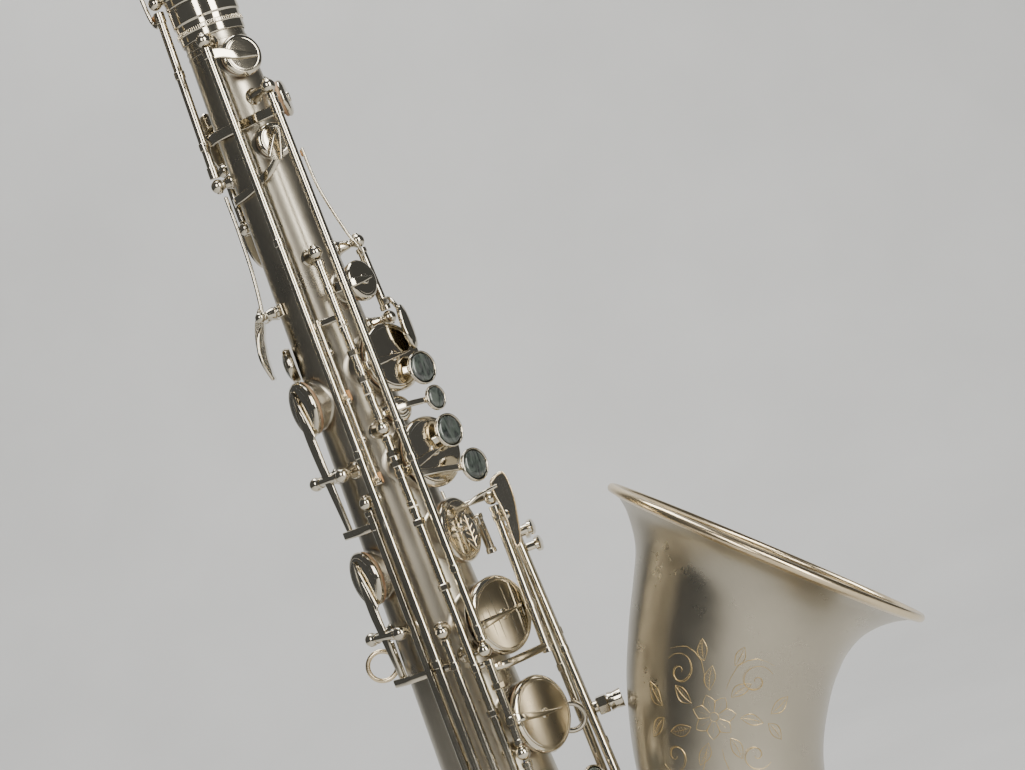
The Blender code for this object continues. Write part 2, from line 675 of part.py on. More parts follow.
def g_key():
    g = STACK["g"]
    z = 618.5
    hinge = on_line(G_LINE, z)
    wrap = [hinge]
    outs = [radial(62)]
    for phi, out in ((72, 26.0), (84, 21.4), (102, 20.2), (122, 20.0), (142, 20.0), (158, 19.8)):
        wrap.append(at(z, phi, out))
        outs.append(radial(phi))
    octave_arm = strap(wrap, outs, 5.0, 1.6)
    axis = (G_LINE[1] - G_LINE[0]).normalized()
    turn_solids([octave_arm], G_LINE[0].lerp(G_LINE[1], 0.5), axis, -opening(G_LINE, g, 0.18))
    stack_key("key_g", G_LINE, g, 626.2, 354.8, 360.5, 0.18,
              stack_button("g", G_LINE, g, 431.0, -10.5, 42.4, 437, 0.18) + [octave_arm], ["g"])


def lower_stack():
    keys = [("f_sharp", 346.0, 304.4, 316, [], []),
            ("f", 296.0, 258.4, 262, [("f", 272, -8, 42.5, 274)], ["f"]),
            ("e", 257.8, 233.2, 237, [("e", 248, -8, 47.8, 247)], ["e"]),
            ("d", 225.0, 141.4, 148, [("d", 224, -8, 49.5, 222)], ["d"])]
    for name, high, low, arm_z, buttons, pearls in keys:
        hole = STACK[name]
        extra = []
        for label, z, side, out, start in buttons:
            rise = 1.2 if label == "f" else 6.0
            extra += stack_button(label, LOWER_LINE, hole, z, side, out, start, OPEN_LOWER, rise=rise)
        stack_key("key_" + name, LOWER_LINE, hole, high, low, arm_z, OPEN_LOWER, extra, pearls)


# ---- palm, side and front keys ---------------------------------------------------------------------
def side_e_key():
    hinge = on_line(E_LINE, 653.5)
    touch = touch_plate(E_LINE, 262, 26, Vector((45.5, -18.0, 262)))
    solids = [hinge_tube(E_LINE, 656.9, 250.0), HIGH_E.key_cup(4.4), HIGH_E.arm(hinge, 4.4, 5.0)] + touch
    turn = opening(E_LINE, HIGH_E, 0.2)
    hinged("side_e_key", E_LINE, solids, min(0, turn), max(0, turn))


def touch_plate(line, z, length, centre, width=9.0):
    """Oblong side touch and the bar that carries it from its hinge tube."""
    hinge = on_line(line, z)
    outline = oval_plate(centre, Vector((1, 0, 0)), Vector((0, 0, 1)), length, width, 2.0)
    return [outline, strap([hinge, centre], Vector((0, 0, 1)), 2.6, 9.0)]


def side_lever(name, line, high, low, touch, arm_z, route, turn):
    """Long hinge tube with a touch at its foot and an arm at its head that ends over a short key's tail."""
    points, outs = [on_line(line, arm_z)], [radial(line_angle(line, arm_z))]
    for phi, out in route:
        points.append(at(arm_z, phi, out))
        outs.append(radial(phi))
    hinged(name, line, [hinge_tube(line, high, low), strap(points, outs, 4.0, 1.8)] + touch, 0.0, turn)


ROCKERS = {
    "side_c_key": dict(hole=SIDE_C, z=449.0, tail_z=420.0, out=28.5, phi=147.0),
    "side_bb_key": dict(hole=SIDE_BB, z=371.0, tail_z=347.0, out=31.0, phi=146.0),
}
ROCKER_HALF = 10.0


def rocker_line(spec):
    pivot = at(spec["z"], spec["phi"], spec["out"])
    return pivot + tangent(spec["phi"]) * ROCKER_HALF, pivot - tangent(spec["phi"]) * ROCKER_HALF


def rocker_posts(spec):
    solids = []
    for sign in (1, -1):
        centre = at(spec["z"], spec["phi"], spec["out"]) + tangent(spec["phi"]) * sign * (ROCKER_HALF + BALL + GAP)
        foot_phi = degrees(atan2(centre.x, centre.y))
        solids += post(centre, at(spec["z"], foot_phi, tube_radius(spec["z"]) - WALL / 2))
    return solids


def rocker_key(name, spec, turn):
    """Short key on a cross pivot: cup above, tail below."""
    hole, out = spec["hole"], radial(spec["phi"])
    line = rocker_line(spec)
    pivot = (line[0] + line[1]) / 2
    top = hole.seat + CUP_H + 0.6
    bar = strap([hole.point(top), hole.point(top, 0, -hole.cup), pivot + out * 0.8,
                 at(spec["tail_z"], spec["phi"], spec["out"] - 0.5)], out, [4.0, 7.0, 5.0, 4.0], 2.0)
    turn = opening(line, hole, turn)
    hinged(name, line, [cylinder(line[0], line[1], ROD), hole.key_cup(), bar], min(0, turn), max(0, turn))


def side_keys():
    """Side C and side B flat: a long lever with its touch, and a short key that it tips."""
    side_lever("side_c_lever", C_LINE, 429.1, 224.9, touch_plate(C_LINE, 237, 24, Vector((41.0, -25.0, 237))),
               421.5, [(122, 32.2), (135, 31.4), (150, 30.6)], 0.2)
    side_lever("side_bb_lever", BB_LINE, 361.1, 194.9, touch_plate(BB_LINE, 207, 24, Vector((47.0, -11.0, 207))),
               348.5, [(92, 32.0), (104, 29.2), (122, 29.4), (136, 32.6), (150, 34.0)], 0.1)
    for name, spec in ROCKERS.items():
        rocker_key(name, spec, 0.14)


def palm_key(name, hole, hinge_phi, high, low, route, touch_phi, touch_z, hinge_out, amount):
    """Palm key: hinge on the left of the back, arm round the tube to its cup, touch for the palm."""
    line = (at(high, hinge_phi, hinge_out), at(low, hinge_phi, hinge_out + (high - low) * BODY_TAPER))
    wrap, outs = [on_line(line, route[0][2])], [radial(hinge_phi)]
    for phi, out, z in route:
        wrap.append(at(z, phi, out))
        outs.append(radial(phi))
    wrap.append(hole.point(hole.seat + 4.2))
    outs.append(hole.out)
    reach = 15.0
    touch = at(touch_z, touch_phi, hinge_out + 9)
    head = at(touch_z + reach - 5, touch_phi, hinge_out + 9)
    solids = [cylinder(line[0], line[1], ROD), hole.key_cup(4.2, 1.2), strap(wrap, outs, 4.0, 1.4),
              oval_plate(touch, radial(touch_phi), Vector((0, 0, 1)), 2 * reach, 13, 2.0),
              strap([on_line(line, low + 4), head], Vector((0, 0, 1)), 2.4, 6.0)]
    turn = opening(line, hole, amount)
    hinged(name, line, solids, min(0, turn), max(0, turn))
    posts = []
    for z in (high + BALL + GAP, low - BALL - GAP):
        posts += post(on_line(line, z), at(z, hinge_phi, tube_radius(z) + GAP + 0.5))
    bar = [at(z, hinge_phi, tube_radius(z) + GAP + 0.7) for z in (high + 6.5, low - 6.5)]
    node(name + "_rib", [strap(bar, radial(hinge_phi), 5.0, 1.4)] + posts)


def palm_keys():
    palm_key("palm_d_key", PALM_D, 216, 602, 580,
             [(198, 20.6, 588), (178, 19.0, 588), (158, 18.8, 588), (138, 18.8, 588), (118, 18.8, 589),
              (98, 19.6, 591), (80, 21.6, 594), (66, 23.8, 600)], 236, 571, 24.0, 0.12)
    palm_key("palm_eb_key", PALM_EB, 304, 636, 610,
             [(318, 21.6, 626), (332, 21.4, 626), (346, 22.4, 626)], 284, 601, 23.4, 0.2)
    palm_key("palm_f_key", PALM_F, 246, 656.5, 630, [(262, 21.6, 653)], 232, 622, 23.0, 0.2)


def front_f_key():
    """High F touch in front of the B button, with its long lever up the front of the tube."""
    line = FRONT_F_LINE
    lever = [on_line(line, 543), Vector((5.0, 28.6, 546)), Vector((5.4, 25.4, 556)),
             Vector((5.0, 20.8, 580)), Vector((5.0, 20.2, 600))]
    outs = [Vector((0, 1, 0))] * 5
    tip = at(503, STACK_ANGLE, 37.6, -9.0)
    touch = oval_plate(tip, radial(STACK_ANGLE - 10), Vector((0, 0, 1)), 22, 8.5, 2.2)
    arm = strap([on_line(line, 518.5), at(517.5, 14, 34.5), at(510, 20, 38.6)],
                [Vector((0, 1, 0)), radial(14), radial(20)], 3.6, 2.0)
    hinged("front_f_key", line, [hinge_tube(line, 546.5, 514.5), strap(lever, outs, 4.0, 1.4), touch, arm],
           0.0, 0.1)


# ---- octave mechanism ------------------------------------------------------------------------------
def octave_keys():
    line = OCTAVE_LINE
    pin = strap([on_line(line, 682), on_line(line, 682) + Vector((-3, -4.5, 1)),
                 on_line(line, 682) + Vector((-4, -5.5, 27))], Vector((0, -1, 0)), 4.0, 2.0)
    hinged("octave_rocker", line, [hinge_tube(line, 685.5, 602.0), pin], -0.12, 0.0)
    pivot = Vector((0, -26.8, 532.0))
    cross = (pivot + Vector((7.0, 0, 0)), pivot - Vector((7.0, 0, 0)))
    lever = [Vector((0, -22.4, 592)), Vector((0, -22.6, 575)), Vector((0, -23.8, 552)), pivot,
             Vector((0, -31.6, 524)), Vector((0, -34.0, 514)), Vector((0, -32.4, 503))]
    solids = [cylinder(cross[0], cross[1], ROD),
              strap(lever, Vector((0, -1, 0)), [3.0, 3.0, 3.6, 6.0, 13.0, 15.0, 11.0], 1.8)]
    hinged("octave_thumb_key", cross, solids, -0.1, 0.0)
    feet = []
    for x in (-1, 1):
        centre = pivot + Vector((x * (7.0 + 2.6 + 3 * GAP), 0, 0))
        foot_phi = degrees(atan2(centre.x, centre.y))
        feet += post(centre, at(532, foot_phi, tube_radius(532) + GAP + 0.5), 2.6)
    saddle = [at(532, 180 - 36 + 72 * i / 6, tube_radius(532) + GAP + 0.7) for i in range(7)]
    node("octave_saddle", [strap(saddle, [radial(180 - 36 + 72 * i / 6) for i in range(7)], 6.0, 1.2)] + feet)


# ---- little finger keys -----------------------------------------------------------------------------
def left_table():
    """G sharp, low C sharp, B and B flat keys of the left hand."""
    forward = Vector((0, 1, 0))
    up = Vector((0, 0, 1))
    line = GS_LEVER_LINE
    blade = [Vector((13.0, y, z)) for y, z in ((46, 420), (53, 423), (54, 412), (52, 400), (49.5, 390), (46.5, 389),
                                               (47, 404))]
    top = strap([Vector((13.0, 48, 418)), Vector((14.0, 38, 416.5)), Vector((14.0, 33, 414.5))], up, 4.0, 1.8)
    link = strap([on_line(line, 339), at(340, 50, 39.5), at(341, 63, 38.6)],
                 [up, up, up], 3.0, 4.0)
    hinged("g_sharp_lever", line,
           [hinge_tube(line, 409.6, 336.0), plate(blade, Vector((1, 0, 0)), 2.0), top, link,
            strap([on_line(line, 404), Vector((13.0, 48, 404))], up, 3.0, 6.0)], 0.0, 0.1)
    turn = opening(GS_LINE, G_SHARP, 0.2)
    solids = [hinge_tube(GS_LINE, 408.0, 388.0), G_SHARP.key_cup(), G_SHARP.arm(on_line(GS_LINE, 405))]
    hinged("key_g_sharp", GS_LINE, solids, min(0, turn), max(0, turn))
    specs = [("low_b_key", LOW_B_LINE, LOW_B, 407.6, 112.0, 126, -1, 393.0, (-3.5, 56.0)),
             ("low_bb_key", LOW_BB_LINE, LOW_BB, 397.6, 174.0, 186, -1, 384.0, (-9.5, 56.5)),
             ("low_c_sharp_key", LOW_CS_LINE, LOW_CS, 397.6, 104.0, 121, 1, 391.0, (-19.5, 53.0))]
    for name, line, hole, high, low, cup_z, rests_open, touch_z, (x, y) in specs:
        centre = Vector((x, y, touch_z))
        pad_plate = oval_plate(centre, forward, Vector((1, 0, 0)), 12.0, 7.6, 2.2)
        carrier = strap([on_line(line, touch_z), centre], up, 3.0, 4.0)
        hinge = on_line(line, cup_z)
        if hole is LOW_CS:
            arm = hole.arm(hinge)
            turn, opened = opening(line, hole, 0.2), 0.0
            low_end, high_end = min(0, turn), max(0, turn)
        else:
            behind = hinge + Vector((4.5, -6.5, 0))
            beside = hinge + Vector((17.0, -5.5, 0))
            over = hole.point(hole.seat + CUP_H + 1.6)
            arm = pipe([hinge, behind, beside, over + hole.side * hole.cup * 0.6, over], 2.0, 6)
            opened = opening(line, hole, 0.16)
            low_end, high_end = (0.0, -opened) if opened < 0 else (-opened, 0.0)
        solids = [hinge_tube(line, high, low), hole.key_cup(CUP_H + 1), arm, pad_plate, carrier]
        hinged(name, line, solids, low_end, high_end, opened)


def bell_guard():
    """Guard over the two bell keys: a bar on three legs."""
    out = LOW_B.out
    high = 64.0
    points = [LOW_BB.point(bell_at(216)[2] + 1.4, 0, 30.0), LOW_BB.point(56, 0, 29.0), LOW_BB.point(high, 0, 20.0),
              LOW_B.point(high - 0.4, 0, -6.0)]
    outs = [Vector((0, 0, 1)), (out + Vector((0, 0, 1))).normalized(), out, out]
    middle = bell_at(156)[2] + 1.5
    leg = strap([LOW_B.point(middle, 0, 30.0), LOW_B.point(high, 0, 30.0)], Vector((0, 0, 1)), 7.0, 2.2)
    feet = [oval_plate(foot, out, LOW_B.side, 15, 8, 1.4) for foot in (LOW_B.point(middle, 0, 30.0), points[0])]
    stops = [cylinder(h.point(high - 3.4), h.point(high + 2.2), 5.0, 10) for h in (LOW_B, LOW_BB)]
    node("bell_key_guard", [strap(points, outs, 7.0, 2.0), leg] + feet + stops)


def low_posts():
    """Post of the left hand rods, between the body and the bell."""
    z = 414.0
    surface = tube_radius(z) + GAP
    bracket = [at(z, -24, surface + 0.8), at(z, -18, 36.0), Vector((-2.0, 46.4, z))]
    head = [strap(bracket, Vector((0, 0, 1)), 9.0, 3.0), ball(on_line(GS_LEVER_LINE, 413.4), BALL),
            ball(on_line(LOW_B_LINE, 412.0), BALL),
            strap([Vector((-4.5, 47.0, 413.4)), Vector((10.0, 43.6, 413.8))], Vector((0, 0, 1)), 4.0, 3.0)]
    foot_line = (at(424, -24, 30.0), at(404, -24, 30.0))
    plate_foot = rib(foot_line, 424, 404, 8.0)
    node("left_table_post", head + [plate_foot])


def right_keys():
    """Low E flat and low C keys of the right little finger."""
    for name, hole in (("low_eb_key", LOW_EB), ("low_c_key", LOW_C)):
        centre = hole.point(0)
        if hole is LOW_EB:
            line = (Vector((31.5, -20.5, 178)), Vector((36.5, -22.0, 60)))
        else:
            line = (Vector((33.5, -29.5, 172)), Vector((36.0, -31.0, 30)))
        hinge = on_line(line, centre.z + 2)
        touch = Vector((line[0].x + 9.0, line[0].y + (4 if hole is LOW_EB else -4), 166))
        turn = opening(line, hole, 0.18)
        opened = 0.0 if hole is LOW_EB else turn * 0.7
        low_end, high_end = ((min(0, turn), max(0, turn)) if hole is LOW_EB
                             else (min(0, -opened), max(0, -opened)))
        top = hole.point(hole.seat + CUP_H + 0.5)
        edge = top + Vector((0, (hinge.y - top.y) * 0.62, 0))
        solids = [cylinder(line[0], line[1], ROD), hole.key_cup(CUP_H + 0.4),
                  strap([hinge, edge, top], Vector((1, 0, 0)), 4.5, 2.0),
                  oval_plate(touch, Vector((1, 0, 0)), Vector((0, 0, 1)), 16, 11, 2.4),
                  strap([on_line(line, 166), touch], Vector((0, 0, 1)), 2.6, 7.0)]
        hinged(name, line, solids, low_end, high_end, opened)


# ---- neck and mouthpiece ---------------------------------------------------------------------------
NECK_PATH = [(0, 707), (0, 722), (-2, 742), (-9, 761), (-22, 777), (-42, 787), (-66, 789), (-92, 783),
             (-120, 771), (-146, 757), (-176, 740)]
NECK_BASE_RADIUS = 13.2
NECK_TIP_RADIUS = 7.0
NECK_KEY_PIVOT = Vector((0, -52, 805.5))
CORK_LENGTH = 30.0
MOUTHPIECE_LENGTH = 92.0
MOUTHPIECE_OVER_CORK = 20.0


def fixed_joint_data(name, kind, pivot, axis, low, high):
    JOINTS[name] = dict(kind=kind, pivot=pivot, axis=axis, low=low, high=high)


def neck_points():
    return [Vector((0, y, z)) for y, z in NECK_PATH]


def neck_axis():
    """Direction of the neck's corked end, towards the player."""
    points = neck_points()
    return (points[-1] - points[-2]).normalized()


def neck_tube():
    points = neck_points()
    last = len(points) - 1
    stations = []
    for i, (p, axis, _) in enumerate(path_frames(points)):
        radius = NECK_BASE_RADIUS + (NECK_TIP_RADIUS - NECK_BASE_RADIUS) * i / last
        stations.append((p, axis, Vector((1, 0, 0)), radius))
    tenon = turned_ring([(12.5, 690.5), (14.7, 690.5), (14.7, 704.4), (17.2, 704.6), (17.8, 706.0), (17.8, 709),
                         (15.2, 711), (12.5, 711)], Vector(), Vector((0, 0, 1)), 16)
    base = Vector((0, 0, 697))
    fixed_joint_data("neck_tube", "hinge", base, Vector((0, 0, 1)), -0.35, 0.35)
    vent = Vector((0, -96, 796.4))
    pip = cylinder(vent - Vector((0, 0, 6.2)), vent, 2.8, 10)
    vent_bore = cylinder(vent - Vector((0, 0, 12)), vent + Vector((0, 0, 1)), 1.3, 8)
    posts = []
    for side in (-1, 1):
        posts += post(NECK_KEY_PIVOT + Vector((side * 8.4, 0, 0)), Vector((side * 5.0, -52, 796.0)), 2.6)
    node("neck_tube", [swept_shell(stations, 14), tenon, pip] + posts, SATIN, [vent_bore], 0.35, origin=base)


def neck_cork():
    points, axis = neck_points(), neck_axis()
    start = points[-1] - axis * CORK_LENGTH
    inside = NECK_TIP_RADIUS + 1.4
    node("neck_cork", [turned_ring([(inside, 0), (inside + 1.9, 0.8), (inside + 1.4, CORK_LENGTH - 2),
                                    (inside + 0.8, CORK_LENGTH - 0.5), (inside, CORK_LENGTH - 0.5)],
                                   start, axis, 16)], CORK, roughness=0.8, metallic=0.0)


def mouthpiece_place():
    """Shank end of the mouthpiece, and its direction and upward side."""
    axis = neck_axis()
    start = neck_points()[-1] - axis * MOUTHPIECE_OVER_CORK
    up = Vector((1, 0, 0)).cross(axis).normalized()
    return start, axis, up if up.z > 0 else -up


def mouthpiece():
    start, axis, up = mouthpiece_place()
    cork = NECK_TIP_RADIUS + 1.4 + 1.9 + GAP
    outer = [(12.6, 0), (13.2, 1.5), (13.2, 9), (12.6, 11), (13.0, 50), (11.8, 62), (9.4, 78), (7.2, 92)]
    body = turned([(0, 0)] + outer + [(0, MOUTHPIECE_LENGTH)], start, axis, 20, up)
    socket = turned([(0, -2), (cork, -2), (cork, MOUTHPIECE_OVER_CORK + 5), (0, MOUTHPIECE_OVER_CORK + 7)],
                    start, axis, 16, up)
    bore = cylinder(start + axis * 20, start + axis * 60, 7.5, 12)
    table = strap([start + axis * 31 - up * 15.2, start + axis * 100 - up * 15.2], up, 34.0, 10.0)
    beak = strap([start + axis * 50 + up * 19.2, start + axis * 98 + up * 8.4], up, 34.0, 12.0)
    window = strap([start + axis * 52 - up * 8.0, start + axis * 86 - up * 6.5], up, 11.0, 12.0)
    place = start + axis * 10
    fixed_joint_data("mouthpiece", "slide", place, axis, -0.004, 0.004)
    node("mouthpiece", [body], EBONITE, [socket, bore, table, beak, window], 0.25, 0.0, origin=place)


def reed_and_ligature():
    start, axis, up = mouthpiece_place()
    back = start + axis * 33
    reed = new_solid([[back + axis * along - up * low + Vector((x * wide, 0, 0)) for x, low in
                       ((-1, 10.5), (1, 10.5), (0.66, heel), (-0.66, heel))]
                      for along, wide, heel in ((0, 6.4, 12.5), (26, 6.6, 12.5), (57, 7.4, 10.9))])
    node("reed", [reed], CANE, roughness=0.6, metallic=0.0)
    middle = start + axis * 38
    band = turned_ring([(13.6, -8), (14.6, -8), (14.6, 8), (13.6, 8)], middle, axis, 20)
    gap_box = strap([middle - axis * 10 - up * 15.5, middle + axis * 10 - up * 15.5], up, 7.0, 6.0)
    lugs = []
    holes = []
    screws = []
    for side in (-1, 1):
        for along in (-5, 5):
            centre = middle + axis * along - up * 16.5 + Vector((side * 4.6, 0, 0))
            lugs.append(cylinder(centre - Vector((1.3, 0, 0)), centre + Vector((1.3, 0, 0)), 3.2, 8))
    for along in (-5, 5):
        centre = middle + axis * along - up * 16.5
        holes.append(cylinder(centre - Vector((9, 0, 0)), centre + Vector((9, 0, 0)), 1.4, 8))
        screws.append(centre)
    node("ligature", [band] + lugs, NICKEL, [gap_box] + holes)
    for label, centre in zip(("back", "front"), screws):
        shank = cylinder(centre - Vector((8, 0, 0)), centre + Vector((8.5, 0, 0)), 1.05, 8)
        head = oval_plate(centre + Vector((11.5, 0, 0)), axis, Vector((1, 0, 0)), 7.0, 6.4, 2.4)
        name = f"ligature_screw_{label}"
        fixed_joint_data(name, "hinge", centre, Vector((1, 0, 0)), -pi, pi)
        node(name, [shank, head], NICKEL, origin=centre)


def neck_screw():
    """Thumb screw that pinches the receiver round the neck's tenon."""
    centre = Vector((-21.5, 0, 696))
    shank = cylinder(centre - Vector((0, 7.5, 0)), centre + Vector((0, 9, 0)), 1.5, 8)
    head = oval_plate(centre - Vector((0, 11.5, 0)), Vector((1, 0, 0)), Vector((0, 1, 0)), 9.0, 11.0, 2.6)
    fixed_joint_data("neck_screw", "hinge", centre, Vector((0, 1, 0)), -pi, pi)
    node("neck_screw", [shank, head], origin=centre)


def neck_octave_key():
    """Key on the neck: pad over the small vent, long arm and the fork beside the body's octave pin."""
    pivot = NECK_KEY_PIVOT
    line = (pivot + Vector((4.5, 0, 0)), pivot - Vector((4.5, 0, 0)))
    arm = [Vector((0, -96, 800.5)), Vector((0, -76, 807.0)), pivot, Vector((0, -34, 804)), Vector((0, -11, 792.5)),
           Vector((0, 7, 772)), Vector((0, 17, 747)), Vector((0, 20.8, 722))]
    outs = [Vector((0, 0, 1))] * 4 + [Vector((0, 0.6, 0.8)), Vector((0, 0.9, 0.3)), Vector((0, 1, 0)),
                                      Vector((0, 1, 0))]
    pad = turned([(0, 0), (4.6, 0), (4.6, 2.6), (3.6, 3.6), (0, 3.6)], Vector((0, -96, 797.0)),
                 Vector((0, 0, 1)), 12)
    fork = [at(718.0, phi, 20.9) for phi in (0, 30, 60, 90, 120, 150, 170)]
    loop = strap(fork, [radial(phi) for phi in (0, 30, 60, 90, 120, 150, 170)], 4.0, 1.6)
    tail = strap([Vector((0, 20.9, 724)), Vector((0, 20.9, 716.5))], Vector((0, 1, 0)), 4.6, 1.9)
    hinged("neck_octave_key", line, [cylinder(line[0], line[1], 1.9), strap(arm, outs, 4.4, 1.6), pad, loop,
                                     tail], 0.0, 0.06)


def build():
    global ROOT
    ROOT = bpy.data.objects.new("saxophone_origin", None)
    bpy.context.scene.collection.objects.link(ROOT)
    ROOT.location = -RING_CENTRE * MM
    body_tube()
    bow()
    bell()
    joint_rings()
    bell_brace()
    strap_ring()
    thumb_pieces()
    upper_stack()
    g_key()
    lower_stack()
    side_e_key()
    side_keys()
    palm_keys()
    front_f_key()
    octave_keys()
    left_table()
    low_posts()
    bell_guard()
    right_keys()
    neck_tube()
    neck_cork()
    mouthpiece()
    reed_and_ligature()
    neck_screw()
    neck_octave_key()
    bpy.context.view_layer.update()


for old in list(bpy.data.objects):
    bpy.data.objects.remove(old)
build()
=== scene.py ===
"""Looks of the tenor saxophone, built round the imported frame.

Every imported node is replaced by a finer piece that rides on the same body. Shapes are drawn in the part's
own millimetre frame (+Z up the body tube, +Y to the bell, +X to the player's right, Z on the axis of the
tube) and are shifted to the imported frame, whose origin is the middle of the strap ring.
"""
import bpy
import bmesh
from math import atan2, cos, degrees, pi, radians, sin, sqrt
from mathutils import Matrix, Vector


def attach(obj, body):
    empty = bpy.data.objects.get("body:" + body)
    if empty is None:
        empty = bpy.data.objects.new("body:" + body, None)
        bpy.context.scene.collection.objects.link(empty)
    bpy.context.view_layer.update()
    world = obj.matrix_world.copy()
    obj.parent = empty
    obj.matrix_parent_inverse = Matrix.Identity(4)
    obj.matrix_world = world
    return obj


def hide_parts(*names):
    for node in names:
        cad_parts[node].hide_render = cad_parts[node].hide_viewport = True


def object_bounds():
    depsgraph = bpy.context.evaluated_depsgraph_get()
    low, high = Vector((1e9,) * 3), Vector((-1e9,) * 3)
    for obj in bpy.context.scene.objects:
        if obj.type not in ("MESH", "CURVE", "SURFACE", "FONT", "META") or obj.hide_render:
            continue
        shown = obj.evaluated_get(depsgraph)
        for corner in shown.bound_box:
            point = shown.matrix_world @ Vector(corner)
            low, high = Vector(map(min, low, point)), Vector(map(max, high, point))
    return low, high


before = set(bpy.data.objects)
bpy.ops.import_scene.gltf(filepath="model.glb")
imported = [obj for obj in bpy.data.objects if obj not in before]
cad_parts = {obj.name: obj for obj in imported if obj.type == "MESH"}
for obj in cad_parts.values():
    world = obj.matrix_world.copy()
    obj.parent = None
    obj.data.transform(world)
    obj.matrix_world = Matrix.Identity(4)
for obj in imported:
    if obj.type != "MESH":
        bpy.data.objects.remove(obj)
CAD_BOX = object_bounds()

MM = 0.001
GAP = 0.3
WALL = 1.2
BODY_TOP = 690.0
BODY_TOP_RADIUS = 14.0
BODY_TAPER = 0.03
BOW_JOINT = 92.0
BOW_ARC_Z = 86.0
BOW_RADIUS = 47.5
BELL_Y = 2 * BOW_RADIUS
CHIMNEY = 2.6
RING_CENTRE = Vector((0.0, -33.8, 357.0))
BELL_STATIONS = [
    (95.0, 92.3, 37.0, 0), (95.5, 160.0, 38.8, 3), (98.0, 205.0, 41.2, 8),
    (102.8, 250.8, 44.2, 16), (113.8, 283.3, 47.9, 24), (126.0, 305.2, 51.2, 30),
    (136.8, 319.4, 55.0, 36), (145.1, 328.0, 60.0, 40), (151.0, 335.5, 68.0, 43),
    (154.0, 339.6, 75.0, 44), (155.6, 341.6, 79.0, 44),
]
RIM_BEAD = 2.2
ROD = 2.15
BALL = 3.4
STEM = 1.7
CUP_H = 5.0
PAD_H = 1.6                    # how far the leather pad stands below the metal cup
ARM_W = 4.0
ARM_T = 1.8
STACK_ANGLE = 34.0
OPEN_UPPER = 0.20
OPEN_LOWER = 0.16
PEARL_SEAT_R = 8.2
UP = Vector((0, 0, 1))

STACK_LINE = (Vector((30.5, 9.6, 546.0)), Vector((38.5, 9.2, 283.0)))
G_LINE = (Vector((27.4, 17.2, 633.0)), Vector((38.0, 17.0, 350.0)))
LOWER_LINE = (Vector((38.5, 16.2, 350.0)), Vector((45.0, 13.6, 140.0)))
E_LINE = (Vector((27.0, -3.4, 657.0)), Vector((39.0, -7.3, 250.0)))
C_LINE = (Vector((29.1, -10.6, 429.0)), Vector((34.8, -12.7, 225.0)))
BB_LINE = (Vector((36.0, 0.8, 361.0)), Vector((40.9, 0.4, 195.0)))
LOW_B_LINE = (Vector((-3.5, 47.5, 408.0)), Vector((22.0, 56.0, 110.0)))
LOW_BB_LINE = (Vector((-9.0, 48.0, 398.0)), Vector((11.2, 54.7, 172.0)))
LOW_CS_LINE = (Vector((-16.5, 45.0, 398.0)), Vector((-2.0, 47.0, 100.0)))
GS_LEVER_LINE = (Vector((9.0, 43.5, 410.0)), Vector((12.0, 42.5, 336.0)))
GS_LINE = (Vector((-4.0, 34.0, 408.0)), Vector((-4.0, 34.4, 388.0)))
OCTAVE_LINE = (Vector((1.0, -20.3, 686.0)), Vector((1.0, -23.6, 602.0)))
FRONT_F_LINE = (Vector((-2.0, 28.5, 548.0)), Vector((-2.0, 29.4, 512.0)))


